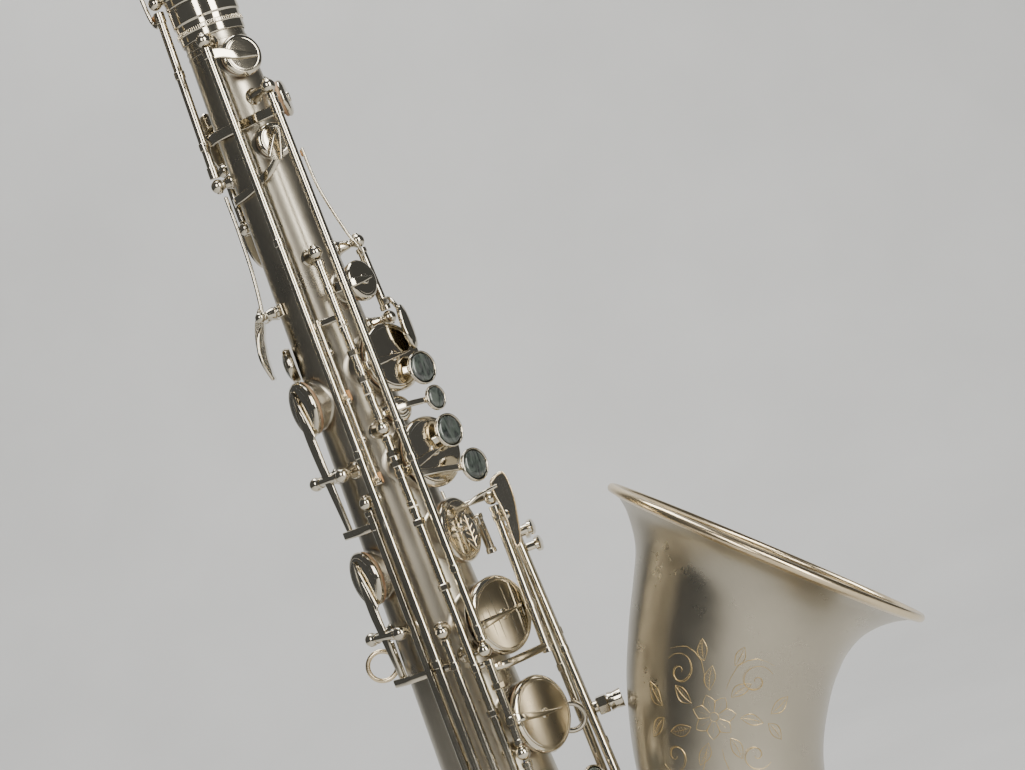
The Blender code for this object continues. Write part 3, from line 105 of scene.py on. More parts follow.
# ---- materials ------------------------------------------------------------------------------------
class Shader:
    """A Principled material with its colour, roughness and bump built from noise."""

    def __init__(self, name, metallic, roughness, colour=(0.5, 0.5, 0.5), **fixed):
        self.mat = bpy.data.materials.new(name)
        self.mat.use_nodes = True
        self.tree = self.mat.node_tree
        self.bsdf = self.tree.nodes["Principled BSDF"]
        self.bsdf.inputs["Metallic"].default_value = metallic
        self.bsdf.inputs["Roughness"].default_value = roughness
        self.bsdf.inputs["Base Color"].default_value = (*colour, 1.0)
        self.mat.diffuse_color = (*colour, 1.0)
        for key, value in fixed.items():
            self.bsdf.inputs[key.replace("_", " ")].default_value = value
        self.coords = self.tree.nodes.new("ShaderNodeTexCoord")

    def new(self, kind, **values):
        made = self.tree.nodes.new("ShaderNode" + kind)
        for key, value in values.items():
            setattr(made, key, value)
        return made

    def link(self, source, target):
        self.tree.links.new(source, target)

    def noise(self, scale, detail=3.0, stretch=(1, 1, 1), turn=(0, 0, 0), rough=0.5, distortion=0.0):
        place = self.new("Mapping")
        place.inputs["Scale"].default_value = stretch
        place.inputs["Rotation"].default_value = turn
        self.link(self.coords.outputs["Object"], place.inputs["Vector"])
        made = self.new("TexNoise")
        made.inputs["Scale"].default_value = scale
        made.inputs["Detail"].default_value = detail
        made.inputs["Roughness"].default_value = rough
        made.inputs["Distortion"].default_value = distortion
        self.link(place.outputs["Vector"], made.inputs["Vector"])
        return made.outputs["Fac"]

    def cells(self, scale, stretch=(1, 1, 1)):
        place = self.new("Mapping")
        place.inputs["Scale"].default_value = stretch
        self.link(self.coords.outputs["Object"], place.inputs["Vector"])
        made = self.new("TexVoronoi")
        made.inputs["Scale"].default_value = scale
        self.link(place.outputs["Vector"], made.inputs["Vector"])
        return made.outputs["Distance"]

    def ramp(self, value, low, high, to_low=0.0, to_high=1.0):
        made = self.new("MapRange")
        made.inputs["From Min"].default_value = low
        made.inputs["From Max"].default_value = high
        made.inputs["To Min"].default_value = to_low
        made.inputs["To Max"].default_value = to_high
        self.link(value, made.inputs["Value"])
        return made.outputs["Result"]

    def mix(self, amount, first, second):
        """Colour between two, each a colour or another node's output."""
        made = self.new("Mix", data_type="RGBA")
        self.link(amount, made.inputs["Factor"])
        for socket, value in ((made.inputs[6], first), (made.inputs[7], second)):
            if isinstance(value, tuple):
                socket.default_value = (*value, 1.0)
            else:
                self.link(value, socket)
        return made.outputs[2]

    def add(self, first, second, kind="ADD"):
        made = self.new("Math", operation=kind)
        for socket, value in zip(made.inputs, (first, second)):
            if isinstance(value, (int, float)):
                socket.default_value = value
            else:
                self.link(value, socket)
        return made.outputs["Value"]

    def finish(self, colour=None, roughness=None, height=None, strength=0.1, distance=0.0002):
        if colour is not None:
            self.link(colour, self.bsdf.inputs["Base Color"])
        if roughness is not None:
            self.link(roughness, self.bsdf.inputs["Roughness"])
        if height is not None:
            bump = self.new("Bump")
            bump.inputs["Strength"].default_value = strength
            bump.inputs["Distance"].default_value = distance
            self.link(height, bump.inputs["Height"])
            self.link(bump.outputs["Normal"], self.bsdf.inputs["Normal"])
        return self.mat


def plated(name, bright, dark, brass, rough_low, rough_high, wear_from, grain):
    """Nickel plate: cloudy colour, fine brushing, hair scratches and brass showing at worn specks."""
    s = Shader(name, 1.0, (rough_low + rough_high) / 2, bright)
    cloud = s.ramp(s.noise(9.0, 5.0), 0.35, 0.65)
    colour = s.mix(cloud, dark, bright)
    brushing = s.noise(grain, 4.0, (1.0, 1.0, 0.035))
    colour = s.mix(s.ramp(brushing, 0.3, 0.7, 0.0, 0.22), colour, dark)
    scratch = s.ramp(s.noise(60.0, 2.0, (1.0, 22.0, 1.5), (0.5, 0.3, 0.9), 0.7), 0.72, 0.76)
    scratch_two = s.ramp(s.noise(45.0, 2.0, (26.0, 1.2, 1.0), (0.2, 1.1, 0.4), 0.7), 0.73, 0.77)
    lines = s.add(scratch, scratch_two, "MAXIMUM")
    colour = s.mix(s.add(lines, 0.45, "MULTIPLY"), colour, bright)
    wear = s.ramp(s.noise(260.0, 6.0, rough=0.75), wear_from, wear_from + 0.05)
    broad = s.ramp(s.noise(22.0, 4.0, rough=0.6), 0.56, 0.72)
    colour = s.mix(s.add(wear, broad, "MULTIPLY"), colour, brass)
    rough = s.ramp(s.noise(34.0, 6.0, rough=0.65), 0.3, 0.7, rough_low, rough_high)
    rough = s.add(rough, s.add(lines, 0.12, "MULTIPLY"))
    height = s.add(s.noise(grain * 1.6, 3.0, (1.0, 1.0, 0.05)), s.add(lines, -0.6, "MULTIPLY"))
    return s.finish(colour, rough, height, 0.06, 0.00005)


def pearl_material():
    """Dark mother-of-pearl: layered bands that turn from grey to green."""
    s = Shader("dark_pearl", 0.2, 0.2, (0.05, 0.055, 0.05), Coat_Weight=0.5, Coat_Roughness=0.05)
    bands = s.noise(95.0, 5.0, (1.0, 2.4, 0.7), (0.4, 0.2, 0.7), 0.55, 2.4)
    colour = s.mix(s.ramp(bands, 0.36, 0.62), (0.020, 0.026, 0.023), (0.085, 0.100, 0.088))
    tint = s.noise(150.0, 3.0, (2.0, 0.8, 1.2), (0.9, 0.1, 0.3), 0.5, 1.2)
    colour = s.mix(s.ramp(tint, 0.5, 0.75, 0.0, 0.6), colour, (0.085, 0.080, 0.085))
    return s.finish(colour, s.ramp(bands, 0.3, 0.7, 0.12, 0.26), bands, 0.03, 0.0001)


def cork_material(name, light, dark):
    """Cork: light cells with dark pores."""
    s = Shader(name, 0.0, 0.85, light)
    colour = s.mix(s.ramp(s.noise(240.0, 6.0, rough=0.7), 0.38, 0.62), dark, light)
    pores = s.ramp(s.cells(700.0, (1.0, 1.0, 0.6)), 0.05, 0.2)
    colour = s.mix(pores, (0.12, 0.06, 0.025), colour)
    return s.finish(colour, s.ramp(pores, 0.0, 1.0, 0.95, 0.75), pores, 0.4, 0.0002)


def leather_material():
    """Pad leather: tan, mottled lighter and darker, with fine pores."""
    s = Shader("pad_leather", 0.0, 0.55, (0.42, 0.26, 0.14))
    colour = s.mix(s.ramp(s.noise(120.0, 5.0), 0.35, 0.65), (0.26, 0.15, 0.08), (0.46, 0.30, 0.17))
    grain = s.cells(1500.0)
    return s.finish(colour, s.ramp(grain, 0.0, 0.6, 0.42, 0.62), grain, 0.2, 0.00008)


def felt_material():
    """Felt bumper: dark red fibres."""
    s = Shader("felt", 0.0, 0.95, (0.18, 0.05, 0.04), Sheen_Weight=0.4)
    fibres = s.noise(1800.0, 4.0, (1.0, 1.0, 0.4), rough=0.8)
    colour = s.mix(fibres, (0.12, 0.03, 0.03), (0.26, 0.08, 0.06))
    return s.finish(colour, None, fibres, 0.5, 0.0002)


def ebonite_material():
    """Polished hard rubber: near black, faint brown clouds and fine turning lines."""
    s = Shader("ebonite", 0.0, 0.2, (0.02, 0.019, 0.018), Coat_Weight=0.3, Coat_Roughness=0.08)
    colour = s.mix(s.ramp(s.noise(30.0, 4.0), 0.4, 0.7), (0.012, 0.012, 0.012), (0.035, 0.030, 0.025))
    fine = s.noise(900.0, 3.0, (1.0, 0.1, 0.1))
    return s.finish(colour, s.ramp(s.noise(70.0, 5.0), 0.3, 0.7, 0.14, 0.3), fine, 0.03, 0.00005)


def cane_material():
    """Cane: pale straw with fibres along its length and small brown flecks."""
    s = Shader("cane", 0.0, 0.55, (0.75, 0.60, 0.34))
    fibres = s.noise(900.0, 4.0, (1.6, 0.05, 0.08), (0.5, 0.0, 0.0))
    colour = s.mix(s.ramp(fibres, 0.35, 0.65), (0.60, 0.45, 0.22), (0.82, 0.69, 0.43))
    flecks = s.ramp(s.noise(420.0, 2.0, (1.0, 0.3, 0.3)), 0.68, 0.74, 0.0, 0.6)
    return s.finish(s.mix(flecks, colour, (0.38, 0.22, 0.09)), None, fibres, 0.25, 0.0001)


def steel_material():
    """Blued steel of the needle springs."""
    s = Shader("blued_steel", 1.0, 0.25, (0.06, 0.09, 0.16))
    colour = s.mix(s.ramp(s.noise(300.0, 3.0), 0.4, 0.6), (0.05, 0.08, 0.16), (0.12, 0.11, 0.12))
    return s.finish(colour, s.ramp(s.noise(700.0, 3.0), 0.3, 0.7, 0.18, 0.35))


def floor_material():
    """Plain pale paper with a faint mottling."""
    s = Shader("floor", 0.0, 0.9, (0.62, 0.62, 0.61))
    colour = s.mix(s.ramp(s.noise(6.0, 6.0), 0.3, 0.7), (0.60, 0.60, 0.59), (0.64, 0.64, 0.63))
    return s.finish(colour)


NICKEL_BRASS = (0.58, 0.42, 0.20)
MATERIALS = {
    "satin": plated("satin_nickel", (0.52, 0.475, 0.385), (0.40, 0.365, 0.295), NICKEL_BRASS, 0.25, 0.34,
                    0.66, 520.0),
    "nickel": plated("polished_nickel", (0.70, 0.64, 0.52), (0.55, 0.50, 0.40), NICKEL_BRASS, 0.06, 0.15,
                     0.58,
                     900.0),
    # inside: darker brass used only for the screw slots, painted shade where each slot's groove would be
    "inside": plated("painted_slot_shade", (0.30, 0.25, 0.18), (0.16, 0.135, 0.10), NICKEL_BRASS, 0.42, 0.55, 0.6,
                     300.0),
    "gold": plated("worn_edge", (0.80, 0.66, 0.44), (0.62, 0.51, 0.34), (0.66, 0.46, 0.2), 0.16, 0.3, 0.6,
                   600.0),
    "cut": plated("engraved_cut", (0.66, 0.50, 0.24), (0.52, 0.38, 0.17), (0.6, 0.44, 0.2), 0.3, 0.42, 0.6,
                  600.0),
    "pearl": pearl_material(),
    "cork": cork_material("key_cork", (0.50, 0.27, 0.11), (0.33, 0.16, 0.06)),
    "neck_cork": cork_material("neck_cork", (0.62, 0.45, 0.27), (0.42, 0.27, 0.14)),
    "leather": leather_material(),
    "felt": felt_material(),
    "ebonite": ebonite_material(),
    "cane": cane_material(),
    "steel": steel_material(),
}


# ---- places ---------------------------------------------------------------------------------------
def tube_radius(z):
    return BODY_TOP_RADIUS + (BODY_TOP - z) * BODY_TAPER


def radial(phi):
    return Vector((sin(radians(phi)), cos(radians(phi)), 0.0))


def tangent(phi):
    return Vector((cos(radians(phi)), -sin(radians(phi)), 0.0))


def at(z, phi, out, side=0.0):
    """Point at height z, `out` along the outward direction phi and `side` along its tangent."""
    return radial(phi) * out + tangent(phi) * side + Vector((0, 0, z))


def on_line(line, z):
    a, b = line
    return a.lerp(b, (z - a.z) / (b.z - a.z))


def line_angle(line, z):
    p = on_line(line, z)
    return degrees(atan2(p.x, p.y))


def line_frame(line):
    """Pivot point and direction of a hinge line."""
    return line[0].lerp(line[1], 0.5), (line[1] - line[0]).normalized()


# ---- shells, each its own bmesh -------------------------------------------------------------------
def ring_points(centre, axis, across, radius, sides):
    other = axis.cross(across).normalized()
    step = 2 * pi / sides
    return [centre + (across * cos(i * step) + other * sin(i * step)) * radius for i in range(sides)]


def any_across(axis):
    helper = UP if abs(axis.z) < 0.9 else Vector((1, 0, 0))
    return axis.cross(helper).normalized()


def new_solid(rings, cap=True):
    """Mesh through rings of points; a ring of one point closes an end."""
    bm = bmesh.new()
    rows = [[bm.verts.new(p) for p in ring] for ring in rings]
    for low, high in zip(rows, rows[1:]):
        n = max(len(low), len(high))
        for i in range(n):
            j = (i + 1) % n
            if len(low) == 1:
                bm.faces.new((low[0], high[j], high[i]))
            elif len(high) == 1:
                bm.faces.new((low[i], low[j], high[0]))
            else:
                bm.faces.new((low[i], low[j], high[j], high[i]))
    if cap:
        for row in (rows[0], rows[-1]):
            if len(row) > 2:
                bm.faces.new(row)
    bmesh.ops.recalc_face_normals(bm, faces=bm.faces)
    return bm


def closed_loop(rings):
    bm = bmesh.new()
    rows = [[bm.verts.new(p) for p in ring] for ring in rings]
    for low, high in zip(rows, rows[1:] + rows[:1]):
        for i in range(len(low)):
            j = (i + 1) % len(low)
            bm.faces.new((low[i], low[j], high[j], high[i]))
    bmesh.ops.recalc_face_normals(bm, faces=bm.faces)
    return bm


def curve_through(values, per):
    """Smooth curve through numbers or vectors, `per` steps between each two."""
    made = []
    last = len(values) - 1
    for i in range(last):
        a, b, c, d = values[max(i - 1, 0)], values[i], values[i + 1], values[min(i + 2, last)]
        for k in range(per):
            t = k / per
            made.append((b * 2 + (c - a) * t + (a * 2 - b * 5 + c * 4 - d) * t ** 2
                         + (b * 3 - a - c * 3 + d) * t ** 3) * 0.5)
    made.append(values[-1])
    return made


def rounded(profile, radius=0.4, steps=3):
    """Outline with each inner corner rounded off."""
    made = [profile[0]]
    for a, b, c in zip(profile, profile[1:], profile[2:]):
        a, b, c = Vector(a), Vector(b), Vector(c)
        before, after = a - b, c - b
        cut_a = min(radius, before.length * 0.45)
        cut_c = min(radius, after.length * 0.45)
        start, end = b + before.normalized() * cut_a, b + after.normalized() * cut_c
        for k in range(steps + 1):
            t = k / steps
            made.append(tuple(start * (1 - t) ** 2 + b * (2 * t * (1 - t)) + end * t ** 2))
    made.append(profile[-1])
    return made


def cylinder(a, b, radius, sides=24, end_radius=None, edge=0.25):
    """Round bar with softened ends."""
    axis = (b - a).normalized()
    across = any_across(axis)
    end = radius if end_radius is None else end_radius
    edge = min(edge, radius * 0.4, end * 0.4, (b - a).length * 0.3)
    return new_solid([ring_points(a, axis, across, radius - edge, sides),
                      ring_points(a + axis * edge, axis, across, radius, sides),
                      ring_points(b - axis * edge, axis, across, end, sides),
                      ring_points(b, axis, across, end - edge, sides)])


def ball(centre, radius, sides=24, rows=14):
    rings = [[centre - UP * radius]]
    across = Vector((1, 0, 0))
    for i in range(1, rows):
        turn = pi * i / rows
        rings.append(ring_points(centre - UP * radius * cos(turn), UP, across, radius * sin(turn), sides))
    rings.append([centre + UP * radius])
    return new_solid(rings)


def turned(profile, origin, axis, sides=48, across=None, soft=0.35):
    """Solid of revolution from (radius, height) points; radius 0 closes an end."""
    across = across or any_across(axis)
    rings = []
    for radius, height in (rounded(profile, soft) if soft else profile):
        centre = origin + axis * height
        rings.append([centre] if radius <= 0.0001 else ring_points(centre, axis, across, radius, sides))
    return new_solid(rings)


def turned_ring(profile, origin, axis, sides=64, soft=0.3):
    """Ring of revolution: the (radius, height) outline closes on itself."""
    across = any_across(axis)
    outline = rounded(profile + profile[:2], soft)[1:-1] if soft else profile
    rings = [ring_points(origin + axis * h, axis, across, r, sides) for r, h in outline]
    return closed_loop(rings)


def path_frames(points):
    frames = []
    across = None
    for i, p in enumerate(points):
        before = points[max(i - 1, 0)]
        after = points[min(i + 1, len(points) - 1)]
        axis = (after - before).normalized()
        across = any_across(axis) if across is None else (across - axis * across.dot(axis)).normalized()
        frames.append((p, axis, across))
    return frames


def pipe(points, radii, sides=20, per=6):
    """Round wire along a smooth curve through the points."""
    if not isinstance(radii, (list, tuple)):
        radii = [radii] * len(points)
    if len(points) > 2:
        points, radii = curve_through(points, per), curve_through(list(radii), per)
    frames = path_frames(points)
    rings = [ring_points(p, axis, across, r, sides) for (p, axis, across), r in zip(frames, radii)]
    for end, way in ((0, -1), (-1, 1)):
        p, axis, across = frames[end]
        tip = ring_points(p + axis * way * radii[end] * 0.3, axis, across, radii[end] * 0.65, sides)
        rings.insert(0, tip) if way < 0 else rings.append(tip)
    return new_solid(rings)


def bar_section(wide, thick, corner=0.42):
    """Rounded rectangle of 16 points."""
    r = min(wide, thick) * corner
    made = []
    for k, (sx, sy) in enumerate(((1, 1), (-1, 1), (-1, -1), (1, -1))):
        for j in range(4):
            a = radians(90 * k + 30 * j)
            made.append((sx * (wide / 2 - r) + r * cos(a), sy * (thick / 2 - r) + r * sin(a)))
    return made


def strap(points, outs, width=ARM_W, thick=ARM_T, per=6):
    """Flat bar with rounded edges along a smooth curve; `outs` is where its flat side faces."""
    outs = [outs] * len(points) if isinstance(outs, Vector) else list(outs)
    widths = list(width) if isinstance(width, (list, tuple)) else [width] * len(points)
    if len(points) > 2:
        points, outs, widths = (curve_through(list(v), per) for v in (points, outs, widths))
    rings = []
    frames = path_frames(points)
    last = len(frames) - 1
    for i, ((p, axis, _), out, wide) in enumerate(zip(frames, outs, widths)):
        side = axis.cross(out).normalized()
        up = side.cross(axis).normalized()
        body = [p + side * x + up * y for x, y in bar_section(wide, thick)]
        small = [side * x + up * y for x, y in bar_section(max(wide - thick * 0.5, wide * 0.4), thick * 0.5)]
        if i == 0:
            rings.append([p - axis * thick * 0.25 + v for v in small])
        rings.append(body)
        if i == last:
            rings.append([p + axis * thick * 0.25 + v for v in small])
    return new_solid(rings)


def plate(outline, out, thick, per=6, crown=0.0, edge=0.35):
    """Plate with a smooth closed outline, softened edges and a slight crown."""
    n = len(outline)
    closed = [outline[i % n] for i in range(-1, n + 2)]
    smooth = curve_through(closed, per)[per:-per - 1] if per > 1 else outline
    middle = sum(smooth, Vector()) / len(smooth)
    rings = [[middle - out * thick / 2]]
    steps = [(edge, -thick / 2), (0.0, -thick / 2 + edge), (0.0, thick / 2 - edge), (edge, thick / 2)]
    for inset, height in steps:
        rings.append([p + (middle - p).normalized() * inset + out * height for p in smooth])
    if crown:
        rings.append([p.lerp(middle, 0.4) + out * (thick / 2 + crown * 0.8) for p in smooth])
    rings.append([middle + out * (thick / 2 + crown)])
    return new_solid(rings)


def oval_plate(centre, out, long_axis, length, width, thick, crown=0.0, sides=48):
    side = out.cross(long_axis).normalized()
    step = 2 * pi / sides
    outline = [centre + long_axis * (length / 2 * cos(i * step)) + side * (width / 2 * sin(i * step))
               for i in range(sides)]
    return plate(outline, out, thick, 1, crown)


def slot(centre, out, along, length=3.6, wide=0.7):
    """Screwdriver slot: a thin dark inlay on a screw's or ball's end, painted shade where the groove would
    be.
    """
    return strap([centre - along * length / 2, centre + along * length / 2], out, wide, 0.5)


# ---- pieces ---------------------------------------------------------------------------------------
def joined_mesh(name, parts):
    """One mesh from (material, shells) pairs."""
    total = bmesh.new()
    mesh = bpy.data.meshes.new(name)
    for index, (material, shells) in enumerate(parts):
        mesh.materials.append(MATERIALS[material])
        for bm in shells:
            for face in bm.faces:
                face.material_index = index
            shell = bpy.data.meshes.new("shell")
            bm.to_mesh(shell)
            bm.free()
            total.from_mesh(shell)
            bpy.data.meshes.remove(shell)
    total.to_mesh(mesh)
    total.free()
    return mesh


def in_frame(mesh):
    mesh.transform(Matrix.Scale(MM, 4) @ Matrix.Translation(-RING_CENTRE))
    mesh.shade_smooth()
    mesh.set_sharp_from_angle(angle=radians(38))


def piece(name, parts, node=None, body="horn_body"):
    """Joins the shells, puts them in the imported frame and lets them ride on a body."""
    mesh = joined_mesh(name, parts)
    in_frame(mesh)
    obj = bpy.data.objects.new(name, mesh)
    bpy.context.scene.collection.objects.link(obj)
    if node:
        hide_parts(node)
    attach(obj, body)
    return obj


def cut_piece(name, material, solids, cuts, node, body="horn_body"):
    """As piece, with bores cut through the first of its solids."""
    shells = bpy.data.objects.new(name, joined_mesh(name, [(material, solids[:1])]))
    helpers = []
    bpy.context.scene.collection.objects.link(shells)
    group = bpy.data.collections.new(name + "_cuts")
    for bm in cuts:
        tool = bpy.data.objects.new("tool", joined_mesh("tool", [(material, [bm])]))
        group.objects.link(tool)
        helpers.append(tool)
    boolean = shells.modifiers.new("cut", "BOOLEAN")
    boolean.operation = "DIFFERENCE"
    boolean.solver = "EXACT"
    boolean.operand_type = "COLLECTION"
    boolean.collection = group
    bpy.context.view_layer.update()
    made = bpy.data.meshes.new_from_object(shells.evaluated_get(bpy.context.evaluated_depsgraph_get()))
    bpy.data.objects.remove(shells)
    for tool in helpers:
        bpy.data.objects.remove(tool)
    bpy.data.collections.remove(group)
    bm = bmesh.new()
    bm.from_mesh(made)
    return piece(name, [(material, [bm] + list(solids[1:]))], node, body)


def turn_shells(shells, pivot, axis, angle):
    spin = Matrix.Translation(pivot) @ Matrix.Rotation(angle, 4, axis) @ Matrix.Translation(-pivot)
    for bm in shells:
        bm.transform(spin)


def hinged(name, line, parts, opened=0.0):
    """A moving piece; `opened` turns it from its drawn place to its rest place."""
    pivot, axis = line_frame(line)
    if opened:
        for _, shells in parts:
            turn_shells(shells, pivot, axis, opened)
    return piece(name + "_fine", parts, name, name)


# ---- tone holes and key parts ---------------------------------------------------------------------
class Hole:
    """A tone hole: its centre on the tube's axis, outward direction, radius and rim height."""

    def __init__(self, centre, out, along, tube, radius, cup, rim=None):
        self.centre, self.out, self.along = centre, out, along
        self.side = out.cross(along).normalized()
        self.tube, self.radius, self.cup = tube, radius, cup
        self.rim = tube + CHIMNEY if rim is None else rim
        self.seat = self.rim + GAP

    def point(self, out, side=0.0, up=0.0):
        return self.centre + self.out * out + self.side * side + self.along * up

    def chimney(self):
        """Drawn tone hole: a thin wall with a turned lip, rising out of a small fillet."""
        r, foot = self.radius, sqrt(max(self.tube ** 2 - (self.radius + 1.2) ** 2, 1.0)) - 1.2
        outline = [(r, foot), (r + 1.2, foot), (r + 1.1, self.rim - 0.9), (r + 1.35, self.rim - 0.5),
                   (r + 1.25, self.rim), (r + 0.2, self.rim), (r, self.rim - 0.4)]
        return turned_ring(outline, self.centre, self.out, 72, 0.12)

    def fillet(self):
        """Soft foot where the drawn hole leaves the tube, following the tube's roundness."""
        rings = []
        for wide, lift in ((2.5, -0.12), (1.9, 0.08), (1.45, 0.45), (1.2, 0.95)):
            ring = []
            for i in range(72):
                a = 2 * pi * i / 72
                x, y = (self.radius + wide) * cos(a), (self.radius + wide) * sin(a)
                ring.append(self.point(sqrt(max(self.tube ** 2 - x * x, 1.0)) + lift, x, y))
            rings.append(ring)
        return new_solid(rings, cap=False)

    def bore(self):
        return turned([(0, self.tube * 0.3), (self.radius, self.tube * 0.3), (self.radius, self.rim + 2),
                       (0, self.rim + 2)], self.centre, self.out, 72, soft=0)

    def key_cup(self, height=CUP_H, boss=True):
        """Pressed cup: soft shoulder, shallow crown, a turned line and a boss in the middle."""
        r, low = self.cup, PAD_H
        profile = [(0, low), (r - 0.5, low), (r, low + 0.3), (r, height - 1.7), (r - 0.7, height - 0.7),
                   (r - 2.0, height - 0.1), (r - 2.5, height - 0.25), (r - 3.0, height - 0.05),
                   (0, height + 0.1)]
        made = [turned(profile, self.point(self.seat), self.out, 72, self.along, 0.4)]
        if boss:
            made.append(turned([(2.6, 0), (2.6, 0.5), (1.9, 0.9), (0, 1.0)], self.point(self.seat + height),
                               self.out, 32))
        return made

    def pad(self):
        """Leather pad under the cup, its pressed ring and metal resonator."""
        r = self.cup - 0.45
        seat = self.point(self.seat)
        skin = turned([(0, 0.25), (self.radius - 0.6, 0.2), (self.radius + 0.6, 0.45),
                       (self.radius + 1.6, 0.05),
                       (r - 0.4, 0.1), (r, 0.5), (r, PAD_H + 0.2), (0, PAD_H + 0.2)], seat, self.out, 64,
                      self.along, 0.3)
        plate_r = self.radius * 0.55
        resonator = turned([(0, -0.35), (plate_r * 0.3, -0.3), (plate_r, 0.05), (plate_r, 0.4), (0, 0.4)],
                           seat, self.out, 48, self.along, 0.25)
        return [("leather", [skin]), ("nickel", [resonator])]

    def arm(self, hinge, height=CUP_H, width=ARM_W, tip=0.0):
        """Key arm: wide at the hinge, over the edge of the cup, and pointed past its middle."""
        away = hinge - self.point(0)
        side = away.dot(self.side)
        sign = 1 if side > 0 else -1
        up = away.dot(self.along)
        top = self.seat + height + 0.65
        points = [hinge, self.point(self.seat + height * 0.72, sign * (self.cup + 1.0), up),
                  self.point(top, sign * (self.cup - 3.5), up * 0.7), self.point(top, 0, 0)]
        widths = [width + 1.2, width + 0.6, width, width * 0.62]
        if tip:
            points.append(self.point(top - 0.1, -sign * tip, -up * 0.3))
            widths.append(width * 0.18)
        return strap(points, self.out, widths, 1.7, 8)

    def leaf(self, root, width=9.0):
        """Leaf arm: two raised ribs that meet in a point beyond the middle of the cup."""
        top = self.seat + CUP_H + 0.55
        toward = (root - self.point(0)).normalized()
        toward = (toward - self.out * toward.dot(self.out)).normalized()
        across = self.out.cross(toward).normalized()
        start = self.point(top) + toward * (self.cup + 0.5)
        tip = self.point(top) - toward * self.cup * 0.72
        web = plate([start + across * width / 2, start - across * width / 2,
                     self.point(top) - across * width * 0.30,
                     tip, self.point(top) + across * width * 0.30], self.out, 1.0, 5)
        ribs = [pipe([start + across * s * width / 2, self.point(top + 0.4) + across * s * width * 0.30,
                      tip + self.out * 0.2], [0.85, 0.8, 0.35], 14) for s in (-1, 1)]
        return [web] + ribs


def body_hole(z, phi, radius, cup):
    return Hole(Vector((0, 0, z)), radial(phi), UP, tube_radius(z), radius, cup)


STACK = {
    "c": body_hole(531, 29, 7.0, 10.0), "b": body_hole(492, STACK_ANGLE, 13.5, 16.7),
    "bis": body_hole(468, 48, 4.5, 6.4), "a": body_hole(444, STACK_ANGLE, 14.2, 17.2),
    "g": body_hole(361, STACK_ANGLE, 16.0, 19.0), "f_sharp": body_hole(311, STACK_ANGLE, 15.6, 18.6),
    "f": body_hole(259, STACK_ANGLE, 16.6, 19.6), "e": body_hole(204, STACK_ANGLE, 17.8, 21.0),
    "d": body_hole(146, STACK_ANGLE, 18.4, 21.6),
}
G_SHARP = body_hole(405, 30, 13.2, 16.0)
HIGH_E = body_hole(649.5, 60, 7.0, 10.2)
PALM_D = body_hole(606.5, 62, 6.2, 8.8)
PALM_EB = body_hole(626, 3, 6.2, 9.2)
PALM_F = body_hole(653, -76, 5.6, 8.4)
SIDE_C = body_hole(484, 152, 10.6, 13.6)
SIDE_BB = body_hole(399, 150, 10.6, 13.6)
LOW_CS = body_hole(121, -45, 15.4, 18.4)


def bow_point(angle):
    a = radians(angle)
    return Vector((0, BOW_RADIUS * (1 - cos(a)), BOW_ARC_Z - BOW_RADIUS * sin(a)))


def bow_tube(angle):
    return tube_radius(BOW_JOINT) + (BELL_STATIONS[0][2] - tube_radius(BOW_JOINT)) * angle / 180


def bow_hole(angle, radius, cup):
    a = radians(angle)
    return Hole(bow_point(angle), Vector((1, 0, 0)), Vector((0, -sin(a), cos(a))), bow_tube(angle), radius,
                cup)


LOW_EB = bow_hole(20, 13.0, 16.4)
LOW_C = bow_hole(82, 16.5, 20.0)


def bell_at(z):
    """Bell axis y, height, outside radius and tilt at height z."""
    for low, high in zip(BELL_STATIONS, BELL_STATIONS[1:]):
        if z <= high[1]:
            f = (z - low[1]) / (high[1] - low[1])
            return [a + (b - a) * f for a, b in zip(low, high)]
    return list(BELL_STATIONS[-1])


def bell_hole(z, radius, cup, back=15):
    y, _, tube, _ = bell_at(z)
    out = Vector((cos(radians(back)), -sin(radians(back)), 0))
    return Hole(Vector((0, y, z)), out, UP, tube, radius, cup, rim=tube + 3.2)


LOW_B = bell_hole(126, 20.5, 24.0)
LOW_BB = bell_hole(186, 21.0, 24.5)
BODY_HOLES = list(STACK.values()) + [G_SHARP, HIGH_E, PALM_D, PALM_EB, PALM_F, SIDE_C, SIDE_BB, LOW_CS]


def post(centre, foot, radius=BALL, base=4.2):
    """Post: turned base, waisted neck and ball."""
    axis = (centre - foot).normalized()
    length = (centre - foot).length
    neck = [(base, -0.6), (base, 0.9), (base - 0.7, 1.5), (STEM + 1.4, 2.3), (STEM + 0.5, length * 0.55),
            (STEM + 0.1, length - radius * 1.1), (STEM + 0.6, length - radius * 0.8), (STEM, length)]
    if length < 7.0:
        neck = [(STEM + 1.6, -0.6), (STEM + 1.2, 1.2), (STEM + 0.3, length * 0.6), (STEM, length)]
    return [turned([(0, neck[0][1])] + neck, foot, axis, 24), ball(centre, radius)]


def ball_slot(line, z, way, radius=BALL):
    """Screw head with its slot in the outer end of a post's ball; `way` is +1 up the line, -1 down."""
    axis = (line[0] - line[1]).normalized() * way
    centre = on_line(line, z) + axis * (radius - 0.45)
    across = axis.cross(radial(line_angle(line, z))).normalized()
    head = turned([(0, -0.4), (1.5, -0.4), (1.5, 0.5), (1.2, 0.8), (0, 0.8)], centre, axis, 20)
    return head, slot(centre + axis * 0.65, axis, across, 2.4, 0.5)


def radial_post(line, z, lean=0.0):
    p = on_line(line, z)
    return post(p, at(z, line_angle(line, z) + lean, tube_radius(z) - WALL / 2))


def hinge_tube(line, high, low, collars=True, rings=()):
    """Hinge tube with a turned collar at each end and rings where arms are brazed on."""
    made = [cylinder(on_line(line, high), on_line(line, low), ROD)]
    marks = [high - 1.3, low + 1.3] if collars else []
    for z in marks + list(rings):
        half = 1.25 if z in marks else 1.9
        made.append(cylinder(on_line(line, z + half), on_line(line, z - half), ROD + 0.45))
    return made


